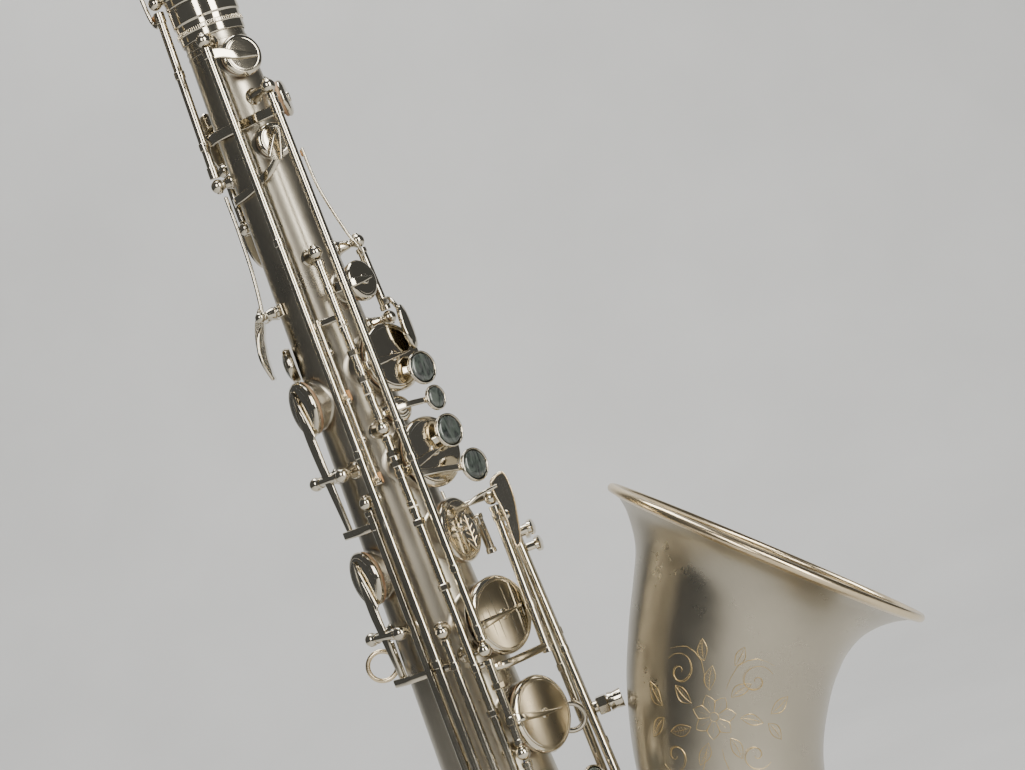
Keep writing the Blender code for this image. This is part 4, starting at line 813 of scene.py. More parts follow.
def hex_nut(line, z, size=3.1):
    a, b = on_line(line, z + 1.5), on_line(line, z - 1.5)
    return cylinder(a, b, size, 6, edge=0.3)


def adjusting_screw(centre, axis, radius=1.5):
    """Small brass screw with a slotted head."""
    head = turned([(0, 0), (radius, 0), (radius, 1.4), (radius - 0.3, 1.7), (0, 1.7)], centre, axis, 20)
    mark = slot(centre + axis * 1.65, axis, any_across(axis), radius * 1.7, 0.35)
    return head, mark


def cork_pad(centre, axis, radius=1.9, height=1.2):
    return turned([(0, 0), (radius, 0), (radius * 0.92, height), (0, height)], centre, axis, 20)


def needle_spring(line, z, reach):
    """Needle spring from a post to its cradle on the hinge tube."""
    inward = -radial(line_angle(line, z))
    start = on_line(line, z) + inward * 2.6
    end = on_line(line, z + reach) + inward * (ROD + 0.7)
    cradle = cylinder(end - inward * 1.0, end + inward * 0.5, 0.8, 12)
    return pipe([start, start.lerp(end, 0.5) + inward * 0.5, end], [0.42, 0.34, 0.2], 10), cradle


def pearl_seat(place, out, along, radius=PEARL_SEAT_R):
    """Double-ringed cup that holds a finger button."""
    return turned([(0, 0), (radius - 1.6, 0), (radius - 0.4, 0.7), (radius, 1.3), (radius, 1.8),
                   (radius - 0.35, 2.05),
                   (radius, 2.3), (radius - 0.1, 2.75), (radius - 0.7, 2.95), (radius - 1.05, 2.5),
                   (radius - 1.1, 1.5), (0, 1.5)], place, out, 56, along, 0.2)


def pearl(name, base, out, radius, spin):
    profile = [(0, 1.7), (radius - 0.2, 1.7), (radius - 0.15, 2.5), (radius - 0.9, 3.15),
               (radius - 2.6, 3.6),
               (0, 3.85)]
    solid = turned(profile, base, out, 56, soft=0.5)
    if spin:
        turn_shells([solid], *spin)
    piece(name + "_fine", [("pearl", [solid])], name, "key_" + name[6:])


def opening(line, hole, amount):
    """Signed turn about the line that lifts the hole's cup by `amount` radians."""
    pivot, axis = line_frame(line)
    lift = axis.cross(hole.point(hole.seat) - pivot).dot(hole.out)
    return amount if lift > 0 else -amount


# ---- body, bow and bell ---------------------------------------------------------------------------
def cone_normals(obj):
    """Exact normals on the long faces of the conical tube, so that it shades as one smooth cone."""
    mesh = obj.data
    tilt = UP * BODY_TAPER
    axis = Vector((-RING_CENTRE.x, -RING_CENTRE.y, 0)) * MM
    normals = [Vector(n.vector) for n in mesh.corner_normals]
    for face in mesh.polygons:
        for loop in face.loop_indices:
            p = mesh.vertices[mesh.loops[loop].vertex_index].co - axis
            out = Vector((p.x, p.y, 0))
            cone = (out.normalized() + tilt).normalized()
            middle = face.center - axis
            level = tube_radius(middle.z / MM + RING_CENTRE.z) * MM
            near = Vector((middle.x, middle.y, 0)).length < level + 0.3 * MM
            if near and face.normal.dot(Vector((middle.x, middle.y, 0)).normalized()) > 0.93:
                normals[loop] = cone
    mesh.normals_split_custom_set([tuple(n) for n in normals])


def body_tube():
    """Conical tube with its drawn tone holes, posts, needle springs and turned beads."""
    low = BOW_JOINT + 0.2
    outline = [(tube_radius(low), low)] + [(tube_radius(z), z) for z in range(120, 690, 30)]
    outline += [(tube_radius(BODY_TOP), BODY_TOP), (tube_radius(BODY_TOP) - WALL, BODY_TOP),
                (tube_radius(low) - WALL, low)]
    wall = turned_ring(outline, Vector(), UP, 144, 0)
    obj = cut_piece("body_tube_fine", "satin", [wall], [h.bore() for h in BODY_HOLES], "body_tube")
    cone_normals(obj)
    holes = [h.chimney() for h in BODY_HOLES] + [h.fillet() for h in BODY_HOLES]
    piece("tone_holes", [("satin", holes)])
    posts, heads, slots = [], [], []
    places = [(G_LINE, 630.0, 0, 1), (E_LINE, 660.6, 0, 1), (E_LINE, 246.2, 0, -1), (C_LINE, 432.8, 0, 1),
              (C_LINE, 221.2, 0, -1), (BB_LINE, 364.8, 0, 1), (BB_LINE, 191.2, 0, -1),
              (OCTAVE_LINE, 598.2, 0, -1),
              (STACK_LINE, 549.6, 0, 1), (STACK_LINE, 462.5, 0, 1), (LOWER_LINE, 350.4, 7, 1),
              (LOWER_LINE, 300.2, 0, 1), (LOWER_LINE, 229.1, 0, 1), (LOWER_LINE, 137.4, 0, -1),
              (FRONT_F_LINE, 550.2, 0, 1), (FRONT_F_LINE, 510.8, 0, -1)]
    for line, z, lean, way in places:
        posts += radial_post(line, z, lean)
        head, mark = ball_slot(line, z, way)
        heads.append(head)
        slots.append(mark)
    for spec in ROCKERS.values():
        for sign in (1, -1):
            side = tangent(spec["phi"]) * sign
            centre = at(spec["z"], spec["phi"], spec["out"]) + side * (ROCKER_HALF + BALL + GAP)
            foot_phi = degrees(atan2(centre.x, centre.y))
            posts += post(centre, at(spec["z"], foot_phi, tube_radius(spec["z"]) - WALL / 2))
            end = centre + side * (BALL - 0.2)
            heads.append(turned([(1.5, -0.6), (1.5, 0.4), (0, 0.6)], end, side, 20))
            slots.append(slot(end + side * 0.5, side, UP, 2.4, 0.5))
    piece("body_posts", [("nickel", posts + heads), ("inside", slots)])
    springs, cradles = [], []
    for line, z, reach in ((LOWER_LINE, 300.2, -22), (LOWER_LINE, 229.1, 24), (LOWER_LINE, 137.4, 26),
                           (G_LINE, 630.0, -24), (E_LINE, 246.2, 26), (C_LINE, 432.8, -24),
                           (BB_LINE, 191.2, 22)):
        wire, _ = needle_spring(line, z, reach)
        springs.append(wire)
    piece("needle_springs", [("steel", springs)])
    lines = [turned_ring([(tube_radius(z) - 0.2, z - 0.5), (tube_radius(z) + 0.28, z - 0.35),
                          (tube_radius(z) + 0.28, z + 0.35), (tube_radius(z) - 0.2, z + 0.5)],
                         Vector(), UP, 96, 0.15) for z in (658.0, 661.0, 108.0, 111.0)]
    piece("body_beads", [("satin", lines)])


def swept_shell(stations, sides):
    """Open tube of even wall along stations of centre, axis, across and radius."""
    outer = [ring_points(c, a, x, r, sides) for c, a, x, r in stations]
    inner = [ring_points(c, a, x, r - WALL, sides) for c, a, x, r in reversed(stations)]
    return closed_loop(outer + inner)


def bow():
    """U-shaped bow with two tone holes and the protecting patch under it."""
    x = Vector((1, 0, 0))
    stations = [(Vector((0, 0, BOW_JOINT - 0.2)), Vector((0, 0, -1)), x, bow_tube(0))]
    steps = 48
    for i in range(steps + 1):
        angle = 180 * i / steps
        a = radians(angle)
        stations.append((bow_point(angle), Vector((0, sin(a), -cos(a))), x, bow_tube(angle)))
    stations.append((Vector((0, BELL_Y, BOW_JOINT - 0.2)), Vector((0, 0, 1)), x, bow_tube(180)))
    holes = [LOW_EB, LOW_C]
    cut_piece("bow_fine", "satin", [swept_shell(stations, 96)], [h.bore() for h in holes], "bow")
    piece("bow_tone_holes", [("satin", [h.chimney() for h in holes] + [h.fillet() for h in holes])])
    patch = []
    for ring in range(9):
        row = []
        for k in range(9):
            angle, turn = 90 + (ring - 4) * 7.0 * sqrt(max(1 - ((k - 4) / 4.6) ** 2, 0.0)), (k - 4) * 8.0
            a = radians(angle)
            down = Vector((0, -cos(a), -sin(a)))
            out = down * cos(radians(turn)) + x * sin(radians(turn))
            row.append(bow_point(angle) + out * (bow_tube(angle) + 0.25))
        patch.append(row)
    bm = bmesh.new()
    verts = [[bm.verts.new(p) for p in row] for row in patch]
    for low, high in zip(verts, verts[1:]):
        for i in range(8):
            bm.faces.new((low[i], low[i + 1], high[i + 1], high[i]))
    bmesh.ops.recalc_face_normals(bm, faces=bm.faces)
    if sum((f.normal.z for f in bm.faces)) > 0:
        bmesh.ops.reverse_faces(bm, faces=bm.faces)
    piece("bow_patch", [("satin", [bm])])


def bell_station(t):
    """Axis point, direction and radius of the bell at station number t, smoothly between stations."""
    last = len(BELL_STATIONS) - 1
    i = min(int(t), last - 1)
    f = t - i
    rows = [BELL_STATIONS[max(i - 1, 0)], BELL_STATIONS[i], BELL_STATIONS[i + 1],
            BELL_STATIONS[min(i + 2, last)]]
    made = []
    for a, b, c, d in zip(*rows):
        made.append(0.5 * (2 * b + (c - a) * f + (2 * a - 5 * b + 4 * c - d) * f ** 2
                           + (3 * b - a - 3 * c + d) * f ** 3))
    y, z, radius, tilt = made
    return Vector((0, y, z)), Vector((0, sin(radians(tilt)), cos(radians(tilt)))), radius


def bell_surface(t, angle, lift=0.0):
    """Point on the bell's skin at a station; angle 0 faces +X and grows towards the back."""
    centre, axis, radius = bell_station(t)
    x = Vector((1, 0, 0))
    back = axis.cross(x)
    return centre + (x * cos(angle) - back * sin(angle)) * (radius + lift)


def bell():
    """Flared bell, its rolled rim and two tone holes."""
    x = Vector((1, 0, 0))
    last = len(BELL_STATIONS) - 1
    per = 10
    stations = []
    for i in range(last * per + 1):
        centre, axis, radius = bell_station(i / per)
        stations.append((centre, axis, x, radius))
    holes = [LOW_B, LOW_BB]
    cut_piece("bell_fine", "satin", [swept_shell(stations, 144)], [h.bore() for h in holes], "bell")
    centre, axis, radius = bell_station(last)
    bead = turned_ring([(radius + RIM_BEAD * cos(t) - 0.2, RIM_BEAD * sin(t)) for t in
                        [2 * pi * i / 16 for i in range(16)]], centre, axis, 160, 0)
    lip = turned_ring([(radius - 3.6, -2.9), (radius - 0.2, -0.9), (radius - 0.2, 0.5),
                       (radius - 3.6, -2.2)],
                      centre, axis, 160, 0.2)
    piece("bell_rim", [("gold", [bead, lip])])
    piece("bell_tone_holes", [("satin", [h.chimney() for h in holes] + [h.fillet() for h in holes])])


ENGRAVING_SCALE = 1.2          # size of the floral plan on the bell
ENGRAVING_WEIGHT = 1.35        # thickness of its cuts


class Engraver:
    """Draws fine cut lines on the bell in a flat plan: x round the bell, y up it, in millimetres."""

    def __init__(self, t_middle, angle):
        self.t_middle, self.angle = t_middle, angle
        self.cuts = []

    def place(self, x, y):
        x, y = x * ENGRAVING_SCALE, y * ENGRAVING_SCALE
        t, left = self.t_middle, y
        step = 0.1 if y > 0 else -0.1
        while abs(left) > 0.01:
            here, there = bell_surface(t, 0), bell_surface(t + step, 0)
            length = (there - here).length
            if length >= abs(left):
                t += step * abs(left) / length
                left = 0
            else:
                t += step
                left -= length if y > 0 else -length
        radius = bell_station(t)[2]
        return bell_surface(t, self.angle + x / radius, 0.0)

    def line(self, points, wide=0.13):
        wide = wide * ENGRAVING_WEIGHT
        placed = [self.place(x, y) for x, y in points]
        radii = [wide * (0.35 + 0.65 * sin(pi * min(max(i / (len(placed) - 1), 0.06), 0.94)))
                 for i in range(len(placed))]
        self.cuts.append(pipe(placed, radii, 6, 2))

    def scroll(self, x, y, size, start, turns, way=1):
        """Spiral that unrolls from its eye and runs out in a tail."""
        steps = 26
        points = []
        for i in range(steps + 1):
            f = i / steps
            a = radians(start) + way * turns * 2 * pi * (1 - f)
            r = size * (0.08 + 0.92 * f ** 1.3)
            points.append((x + r * cos(a), y + r * sin(a)))
        self.line(points, 0.17)
        self.line([(px + 0.5, py + 0.35) for px, py in points[8:-4]], 0.09)

    def leaf(self, x, y, angle, length, bend=0.25):
        """Pointed leaf with a midrib and short veins."""
        a = radians(angle)
        along, across = (cos(a), sin(a)), (-sin(a), cos(a))

        def point(u, v):
            curve = bend * length * (u * u)
            return (x + along[0] * u * length + across[0] * (v + curve),
                    y + along[1] * u * length + across[1] * (v + curve))
        for sign in (1, -1):
            self.line([point(u / 8, sign * 0.24 * length * sin(pi * u / 8)) for u in range(9)], 0.15)
            for vein in range(2, 7):
                u = vein / 8
                self.line([point(u, 0), point(u + 0.08, sign * 0.15 * length * sin(pi * u))], 0.08)
        self.line([point(u / 6, 0) for u in range(7)], 0.1)

    def flower(self, x, y, size, petals=6):
        for k in range(petals):
            a = 360 * k / petals + 15
            tip = (x + size * cos(radians(a)), y + size * sin(radians(a)))
            for sign in (1, -1):
                side = radians(a + sign * 24)
                self.line([(x + size * 0.25 * cos(side), y + size * 0.25 * sin(side)),
                           (x + size * 0.72 * cos(side), y + size * 0.72 * sin(side)), tip], 0.15)
            self.line([(x + size * 0.3 * cos(radians(a)), y + size * 0.3 * sin(radians(a))),
                       (x + size * 0.7 * cos(radians(a)), y + size * 0.7 * sin(radians(a)))], 0.08)
        self.line([(x + size * 0.2 * cos(t), y + size * 0.2 * sin(t))
                   for t in [2 * pi * i / 12 for i in range(13)]],
                  0.12)


def engraving():
    """Floral scrolls on the right side of the bell: a flower, leaves round it and scrolls above and below."""
    pen = Engraver(3.75, 0.22)
    pen.flower(0, 4, 8.5, 7)
    for k in range(7):
        a = 25.7 + 360 * k / 7
        pen.leaf(10 * cos(radians(a)), 4 + 10 * sin(radians(a)), a, 9.0, 0.2)
    for side in (-1, 1):
        pen.scroll(side * 15, 19, 7.0, 90 - side * 60, 1.5, side)
        pen.scroll(side * 16, -11, 6.5, -90 + side * 60, 1.4, -side)
        pen.scroll(side * 8, -24, 5.5, -90 - side * 30, 1.3, side)
        pen.leaf(side * 22, 6, 90 - side * 55, 10, side * 0.2)
        pen.leaf(side * 21, 2, -90 + side * 50, 9, -side * 0.2)
        pen.line([(side * 3, -8), (side * 5, -16), (side * 12, -20), (side * 19, -19)], 0.14)
        pen.line([(side * 4, 15), (side * 7, 24), (side * 14, 28), (side * 21, 26)], 0.14)
        pen.leaf(side * 6, 24, 90 - side * 25, 8, side * 0.15)
    pen.leaf(0, -22, -90, 11, 0.0)
    piece("bell_engraving", [("cut", pen.cuts)])


def joint_rings():
    """Clamping bands at both ends of the bow, and the sleeve that takes the neck."""
    for name, y, bore in (("body_bow_ring", 0.0, tube_radius(BOW_JOINT)), ("bell_bow_ring", BELL_Y, 37.1)):
        inside = bore + GAP + 0.6
        outline = [(inside, -6), (inside + 1.3, -6), (inside + 1.6, -5.2), (inside + 1.3, -4.6),
                   (inside + 2.2, -3.4),
                   (inside + 2.4, -2), (inside + 2.4, 2), (inside + 2.2, 3.4), (inside + 1.3, 4.6),
                   (inside + 1.6, 5.2), (inside + 1.3, 6), (inside, 6)]
        band = turned_ring(outline, Vector((0, y, BOW_JOINT)), UP, 96, 0.2)
        piece(name + "_fine", [("satin", [band])], name)
    sleeve = [(15.1, 664.5), (15.7, 664.5), (15.9, 665.4), (15.9, 668.6), (16.3, 669.0), (16.3, 670.6),
              (15.9, 671.0),
              (15.9, 673.6), (16.6, 674.4), (16.6, 682.2), (16.2, 682.6), (16.2, 683.2), (16.6, 683.6),
              (16.6, 687.2), (17.2, 688), (17.2, 703.0), (16.8, 704), (15.1, 704)]
    ring = turned_ring(sleeve, Vector(), UP, 96, 0.2)
    knurls = []
    for z in (669.8, 701.0):
        radius = 16.35 if z < 680 else 17.25
        for i in range(90):
            a = 4.0 * i
            knurls.append(strap([at(z - 0.8, a, radius), at(z + 0.8, a, radius)], radial(a), 0.55, 0.3))
    ears = []
    for z in (701.8, 694.6):
        height = 2.6 if z > 700 else 7.6
        ears.append(strap([Vector((-15.6, 0, z)), Vector((-24.8, 0, z))], UP, 9.0, height))
    octave_post = post(on_line(OCTAVE_LINE, 690.0), Vector((1.0, -16.4, 692.0)))
    piece("neck_receiver_fine", [("nickel", [ring] + ears + octave_post + knurls)], "neck_receiver")


def bell_brace():
    """Ring brace between body and bell."""
    z, x = 301.0, -7.0
    body_y = sqrt(tube_radius(z) ** 2 - x ** 2) + GAP
    forward = Vector((0, 1, 0))
    foot = oval_plate(Vector((x, body_y + 2.6, z)), forward, UP, 26, 11, 2.4, 0.3)
    ring = turned_ring([(5.2, -1.4), (5.6, -2), (7.4, -2), (8.0, -1.3), (8.0, 1.3), (7.4, 2), (5.6, 2),
                        (5.2, 1.4)],
                       Vector((x, body_y + 16.0, z)), Vector((1, 0, 0)), 48, 0.3)
    stub = turned([(0, 0), (4.4, 0), (4.2, 1.2), (3.0, 2.4), (3.0, 6.6), (0, 6.6)],
                  Vector((x, body_y + 2.5, z)),
                  forward, 32)
    bar = turned([(0, 0), (3.6, 0), (3.6, 1.6), (3.0, 2.2), (3.0, 61 - body_y - 23), (0, 61 - body_y - 23)],
                 Vector((x, body_y + 23, z)), forward, 32)
    nut = cylinder(Vector((x, 54.6, z)), Vector((x, 60.0, z)), 4.9, 6, edge=0.5)
    pad = turned([(0, 0), (4.8, 0), (4.2, 2.5), (4.8, 6.7), (0, 6.7)], Vector((x, 60.5, z)), forward, 32)
    screws = []
    for up in (-8.5, 8.5):
        screws.append(turned([(0, 0), (1.9, 0), (1.7, 0.8), (0, 1.1)], Vector((x, body_y + 4.0, z + up)),
                             forward, 24))
    piece("bell_brace_fine", [("nickel", [foot, ring, stub, bar, nut, pad] + screws)], "bell_brace")


def strap_ring():
    """Open loop for the neck strap on its soldered foot."""
    centre = RING_CENTRE
    loop = turned_ring([(7.05 + 1.15 * cos(t), 1.2 * sin(t)) for t in [2 * pi * i / 14 for i in range(14)]],
                       centre, Vector((1, 0, 0)), 64, 0)
    z = centre.z
    base = oval_plate(Vector((0, -tube_radius(z) - GAP - 1.0, z)), Vector((0, -1, 0)), UP, 19, 8, 1.6, 0.3)
    neck = turned([(0, 0), (3.4, 0), (2.6, 1.2), (2.0, 2.4), (0, 2.6)],
                  Vector((0, -tube_radius(z) - 1.2, z)),
                  Vector((0, -1, 0)), 24)
    piece("strap_ring_fine", [("gold", [loop]), ("nickel", [base, neck])], "strap_ring")


def thumb_pieces():
    """Left thumb rest and right thumb hook."""
    z = 506.0
    surface = -tube_radius(z) - GAP
    back = Vector((0, -1, 0))
    ring = turned([(0, 0), (8.0, 0), (9.0, 2.0), (8.7, 3.6), (7.6, 3.9), (7.2, 3.3), (0, 3.3)],
                  Vector((0, surface - 0.4, z)), back, 56)
    button = turned([(6.9, 3.2), (6.8, 4.2), (4.0, 5.3), (0, 5.6)], Vector((0, surface - 0.4, z)), back, 56)
    piece("thumb_rest_fine", [("nickel", [ring]), ("pearl", [button])], "thumb_rest")
    z = 242.0
    surface = -tube_radius(z) - GAP
    foot = oval_plate(Vector((0, surface - 1.0, z)), back, UP, 30, 12, 1.6, 0.2)
    route = [Vector((0, surface - 0.6, z + 6)), Vector((0, surface - 9, z + 8)),
             Vector((0, surface - 17, z + 5)),
             Vector((0, surface - 22, z - 3)), Vector((0, surface - 23, z - 12))]
    outs = [UP, Vector((0, -0.2, 1)), Vector((0, -0.7, 0.7)), back, back]
    hook = strap(route, outs, [9.0, 10.0, 11.0, 11.0, 9.0], 2.2, 8)
    screw = turned([(0, 0), (3.2, 0), (3.2, 1.2), (2.6, 1.8), (0, 1.9)], Vector((0, surface - 1.7, z - 8)),
                   back, 28)
    mark = slot(Vector((0, surface - 3.5, z - 8)), back, Vector((1, 0, 0)), 5.0, 0.7)
    piece("thumb_hook_fine", [("nickel", [foot, hook, screw]), ("inside", [mark])], "thumb_hook")


# ---- stack keys -----------------------------------------------------------------------------------
BUTTONS = {}


def drawn_place(line, hole, amount, point):
    """Where a point of the open rest pose lies on the key as it is drawn closed."""
    pivot, axis = line_frame(line)
    return pivot + Matrix.Rotation(-opening(line, hole, amount), 3, axis) @ (point - pivot)


def stack_key(name, line, hole, high, low, arm_z, amount, extra=(), buttons=(), more=(), tip=0.0):
    """Open-standing key: drawn closed on its hole, then swung open about its hinge line."""
    turn = opening(line, hole, amount)
    solids = hinge_tube(line, high, low, rings=[arm_z]) + hole.key_cup()
    solids += [hole.arm(on_line(line, arm_z), tip=tip)] + list(extra)
    hinged(name, line, [("nickel", solids)] + hole.pad() + list(more), turn)
    pivot, axis = line_frame(line)
    for button in buttons:
        pearl("pearl_" + button, *BUTTONS[button], (pivot, axis, turn))


def seat_bar(hinge, seat, out, rise=1.2, width=3.4):
    """Bar that carries a finger button's seat."""
    high = seat + out * 0.4
    knee = hinge.lerp(high, 0.25) + out * rise
    return strap([hinge, knee, hinge.lerp(high, 0.65) + out * rise * 0.6, high], out,
                 [width + 0.8, width, width, width + 0.6], 1.8)


def stack_button(name, line, hole, z, side, out, arm_z, amount, over=None, rise=1.2):
    """Seat and its bar; side and out are where the seat stands when the key rests open."""
    rest = hole.out * out + hole.side * side + Vector((0, 0, z))
    place = drawn_place(line, hole, amount, rest)
    BUTTONS[name] = (place, hole.out, PEARL_SEAT_R - 1.2)
    start = on_line(line, arm_z) if over is None else over
    return [pearl_seat(place, hole.out, hole.along), seat_bar(start, place, hole.out, rise)]


def upper_stack():
    """C vent, B, bis and A keys, and the long tube that links the two stacks."""
    b, a, c, bis = STACK["b"], STACK["a"], STACK["c"], STACK["bis"]
    turn = opening(STACK_LINE, c, 0.14)
    pivot, axis = line_frame(STACK_LINE)
    back_turn = Matrix.Rotation(-turn, 3, axis)
    bar = [pivot + back_turn @ (p - pivot) for p in
           (Vector((27.6, -1.4, 520)), Vector((29.2, -1.6, 480)), Vector((30.6, -1.8, 440)))]
    foot = strap([on_line(STACK_LINE, 518), bar[0] + Vector((0, 0, -2))], Vector((1, 0, 0)), 3.4, 1.8)
    x = Vector((1, 0, 0))
    corks, screws, marks = [], [], []
    for f in (0.47, 0.98):
        p = bar[0].lerp(bar[2], f)
        corks.append(strap([p + Vector((-1.0, 1.4, -2.2)), p + Vector((-1.0, 1.4, 2.2))], x, 2.2, 1.6))
        head, mark = adjusting_screw(p + x * 0.7, x)
        screws.append(head)
        marks.append(mark)
    clamps = [strap([bar[0].lerp(bar[2], f) + Vector((0, -1.4, 0)),
                     bar[0].lerp(bar[2], f) + Vector((0, 1.6, 0))],
                    x, 3.0, 1.6) for f in (0.2, 0.5, 0.74, 1.0)]
    stack_key("key_c", STACK_LINE, c, 545.6, 513.5, 531, 0.14, [pipe(bar, 1.05, 16), foot] + clamps,
              more=[("cork", corks), ("gold", screws), ("inside", marks)], tip=4.5)
    nuts = [hex_nut(STACK_LINE, z) for z in (500.0, 487.0)]
    stack_key("key_b", STACK_LINE, b, 513.0, 479.8, 492, OPEN_UPPER,
              stack_button("b", STACK_LINE, b, 482.4, -7.5, 36.6, 484, OPEN_UPPER,
                           over=b.point(b.seat + CUP_H - 0.5, -2, -8)) + nuts, ["b"], tip=9.0)
    stack_key("key_bis", STACK_LINE, bis, 479.3, 466.4, 470, 0.12, bis_button(bis), ["bis"])
    nuts = [hex_nut(STACK_LINE, z) for z in (450.0, 445.0)]
    stack_key("key_a", STACK_LINE, a, 458.6, 424.0, 440, OPEN_UPPER,
              stack_button("a", STACK_LINE, a, 450.4, -7.5, 38.0, 448, OPEN_UPPER,
                           over=a.point(a.seat + CUP_H - 0.5, -2, 4)) + nuts, ["a"], tip=9.0)
    arm = strap([on_line(STACK_LINE, 344), on_line(STACK_LINE, 344) + at(0, STACK_ANGLE, 3.2, -2.6)], UP,
                3.0, 3.0)
    rings = [hex_nut(STACK_LINE, z, 2.9) for z in (416.0, 384.0, 322.0)]
    link = hinge_tube(STACK_LINE, 423.4, 286.0, rings=(344,)) + [arm] + rings
    hinged("stack_link", STACK_LINE, [("nickel", link)])


def bis_button(hole):
    """Small button between the B and A buttons."""
    like = STACK["a"]
    rest = like.out * 37.2 + like.side * -8.0 + Vector((0, 0, 467.0))
    place = drawn_place(STACK_LINE, hole, 0.12, rest)
    BUTTONS["bis"] = (place, like.out, 5.2)
    seat = pearl_seat(place, like.out, like.along, 6.2)
    hinge = on_line(STACK_LINE, 468.4)
    under = hinge + like.side * -5.4 + like.out * 2.4
    bar = strap([hinge, under, under + like.side * -10 + like.out * 5.0, place + like.out * 0.4], like.out,
                3.0, 1.6)
    return [seat, bar]


def g_key():
    """G key on its own long rod, with the arm that reaches round to the octave rod."""
    g = STACK["g"]
    z = 618.5
    wrap, outs = [on_line(G_LINE, z)], [radial(62)]
    for phi, out in ((72, 26.0), (84, 21.4), (102, 20.2), (122, 20.0), (142, 20.0), (158, 19.8)):
        wrap.append(at(z, phi, out))
        outs.append(radial(phi))
    octave_arm = strap(wrap, outs, 5.0, 1.6)
    pivot, axis = line_frame(G_LINE)
    turn_shells([octave_arm], pivot, axis, -opening(G_LINE, g, 0.18))
    lines = [pipe([g.point(g.seat + CUP_H - 0.15 - 0.1 * abs(k), k * 4.2, -sqrt(15.2 ** 2 - (k * 4.2) ** 2)),
                   g.point(g.seat + CUP_H + 0.1, k * 4.2, 0),
                   g.point(g.seat + CUP_H - 0.15 - 0.1 * abs(k), k * 4.2, sqrt(15.2 ** 2 - (k * 4.2) ** 2))],
                  0.16, 8) for k in (-3, -2, -1, 1, 2, 3)]
    couplings = [cylinder(on_line(G_LINE, z1), on_line(G_LINE, z2), ROD + 0.6) for z1, z2 in
                 ((463.5, 459.5), (447.0, 443.5), (392.0, 388.4), (621.0, 616.0))]
    stack_key("key_g", G_LINE, g, 626.2, 354.8, 360.5, 0.18,
              stack_button("g", G_LINE, g, 431.0, -10.5, 42.4, 437, 0.18) + [octave_arm] + couplings + lines,
              ["g"], tip=12.0)


def lower_stack():
    """F sharp, F, E and D keys on one rod."""
    keys = [("f_sharp", 346.0, 304.4, 316, [], []),
            ("f", 296.0, 258.4, 262, [("f", 272, -8, 42.5, 274)], ["f"]),
            ("e", 257.8, 233.2, 237, [("e", 248, -8, 47.8, 247)], ["e"]),
            ("d", 225.0, 141.4, 148, [("d", 224, -8, 49.5, 222)], ["d"])]
    for name, high, low, arm_z, buttons, pearls in keys:
        hole = STACK[name]
        extra = []
        for label, z, side, out, start in buttons:
            rise = 1.2 if label == "f" else 6.0
            extra += stack_button(label, LOWER_LINE, hole, z, side, out, start, OPEN_LOWER, rise=rise)
        if name == "f_sharp":
            extra.append(hex_nut(LOWER_LINE, 333.0))
        stack_key("key_" + name, LOWER_LINE, hole, high, low, arm_z, OPEN_LOWER, extra, pearls,
                  tip=hole.cup * 0.6)


# ---- palm, side and front keys --------------------------------------------------------------------
def touch_plate(line, z, length, centre, width=9.0):
    """Oval touch and the bar that joins it to its rod."""
    outline = oval_plate(centre, Vector((1, 0, 0)), UP, length, width, 2.0, 0.5)
    hinge = on_line(line, z)
    return [outline, strap([hinge, hinge.lerp(centre, 0.5) + Vector((0.8, 0, 0)), centre], UP, 2.6, 8.0)]


def side_e_key():
    """High E key: a long rod with a flat cup and an S-shaped arm."""
    hinge = on_line(E_LINE, 653.5)
    top = HIGH_E.seat + 4.4 + 0.75
    across = HIGH_E.side if (hinge - HIGH_E.point(0)).dot(HIGH_E.side) > 0 else -HIGH_E.side
    arm = strap([hinge, HIGH_E.point(top - 1.0, 0, 3.4) + across * 11.0,
                 HIGH_E.point(top, 0, 0.8) + across * 5.0,
                 HIGH_E.point(top, 0, -0.6), HIGH_E.point(top, 0, -2.6) - across * 6.6], HIGH_E.out,
                [5.4, 5.0, 4.4, 3.4, 1.0], 1.6, 10)
    solids = hinge_tube(E_LINE, 656.9, 250.0, rings=(653.5, 560.0, 455.0, 352.0)) + HIGH_E.key_cup(4.4,
                                                                                                   False)
    hinged("side_e_key", E_LINE, [("nickel", solids + [arm] + touch_plate(E_LINE, 262, 26,
                                                                          Vector((45.5, -18.0, 262))))]
           + HIGH_E.pad())


def side_lever(name, line, high, low, touch, arm_z, route):
    """Side key lever that wraps round the tube to push its cup's tail."""
    points, outs = [on_line(line, arm_z)], [radial(line_angle(line, arm_z))]
    for phi, out in route:
        points.append(at(arm_z, phi, out))
        outs.append(radial(phi))
    end = points[-1] - outs[-1] * 0.6
    cork = cork_pad(end, -outs[-1], 1.5, 0.5)
    solids = hinge_tube(line, high, low, rings=[arm_z]) + [strap(points, outs, 4.0, 1.8)] + touch
    hinged(name, line, [("nickel", solids), ("cork", [cork])])


ROCKERS = {
    "side_c_key": dict(hole=SIDE_C, z=449.0, tail_z=420.0, out=28.5, phi=147.0),
    "side_bb_key": dict(hole=SIDE_BB, z=371.0, tail_z=347.0, out=31.0, phi=146.0),
}
ROCKER_HALF = 10.0


def rocker_line(spec):
    pivot = at(spec["z"], spec["phi"], spec["out"])
    return pivot + tangent(spec["phi"]) * ROCKER_HALF, pivot - tangent(spec["phi"]) * ROCKER_HALF


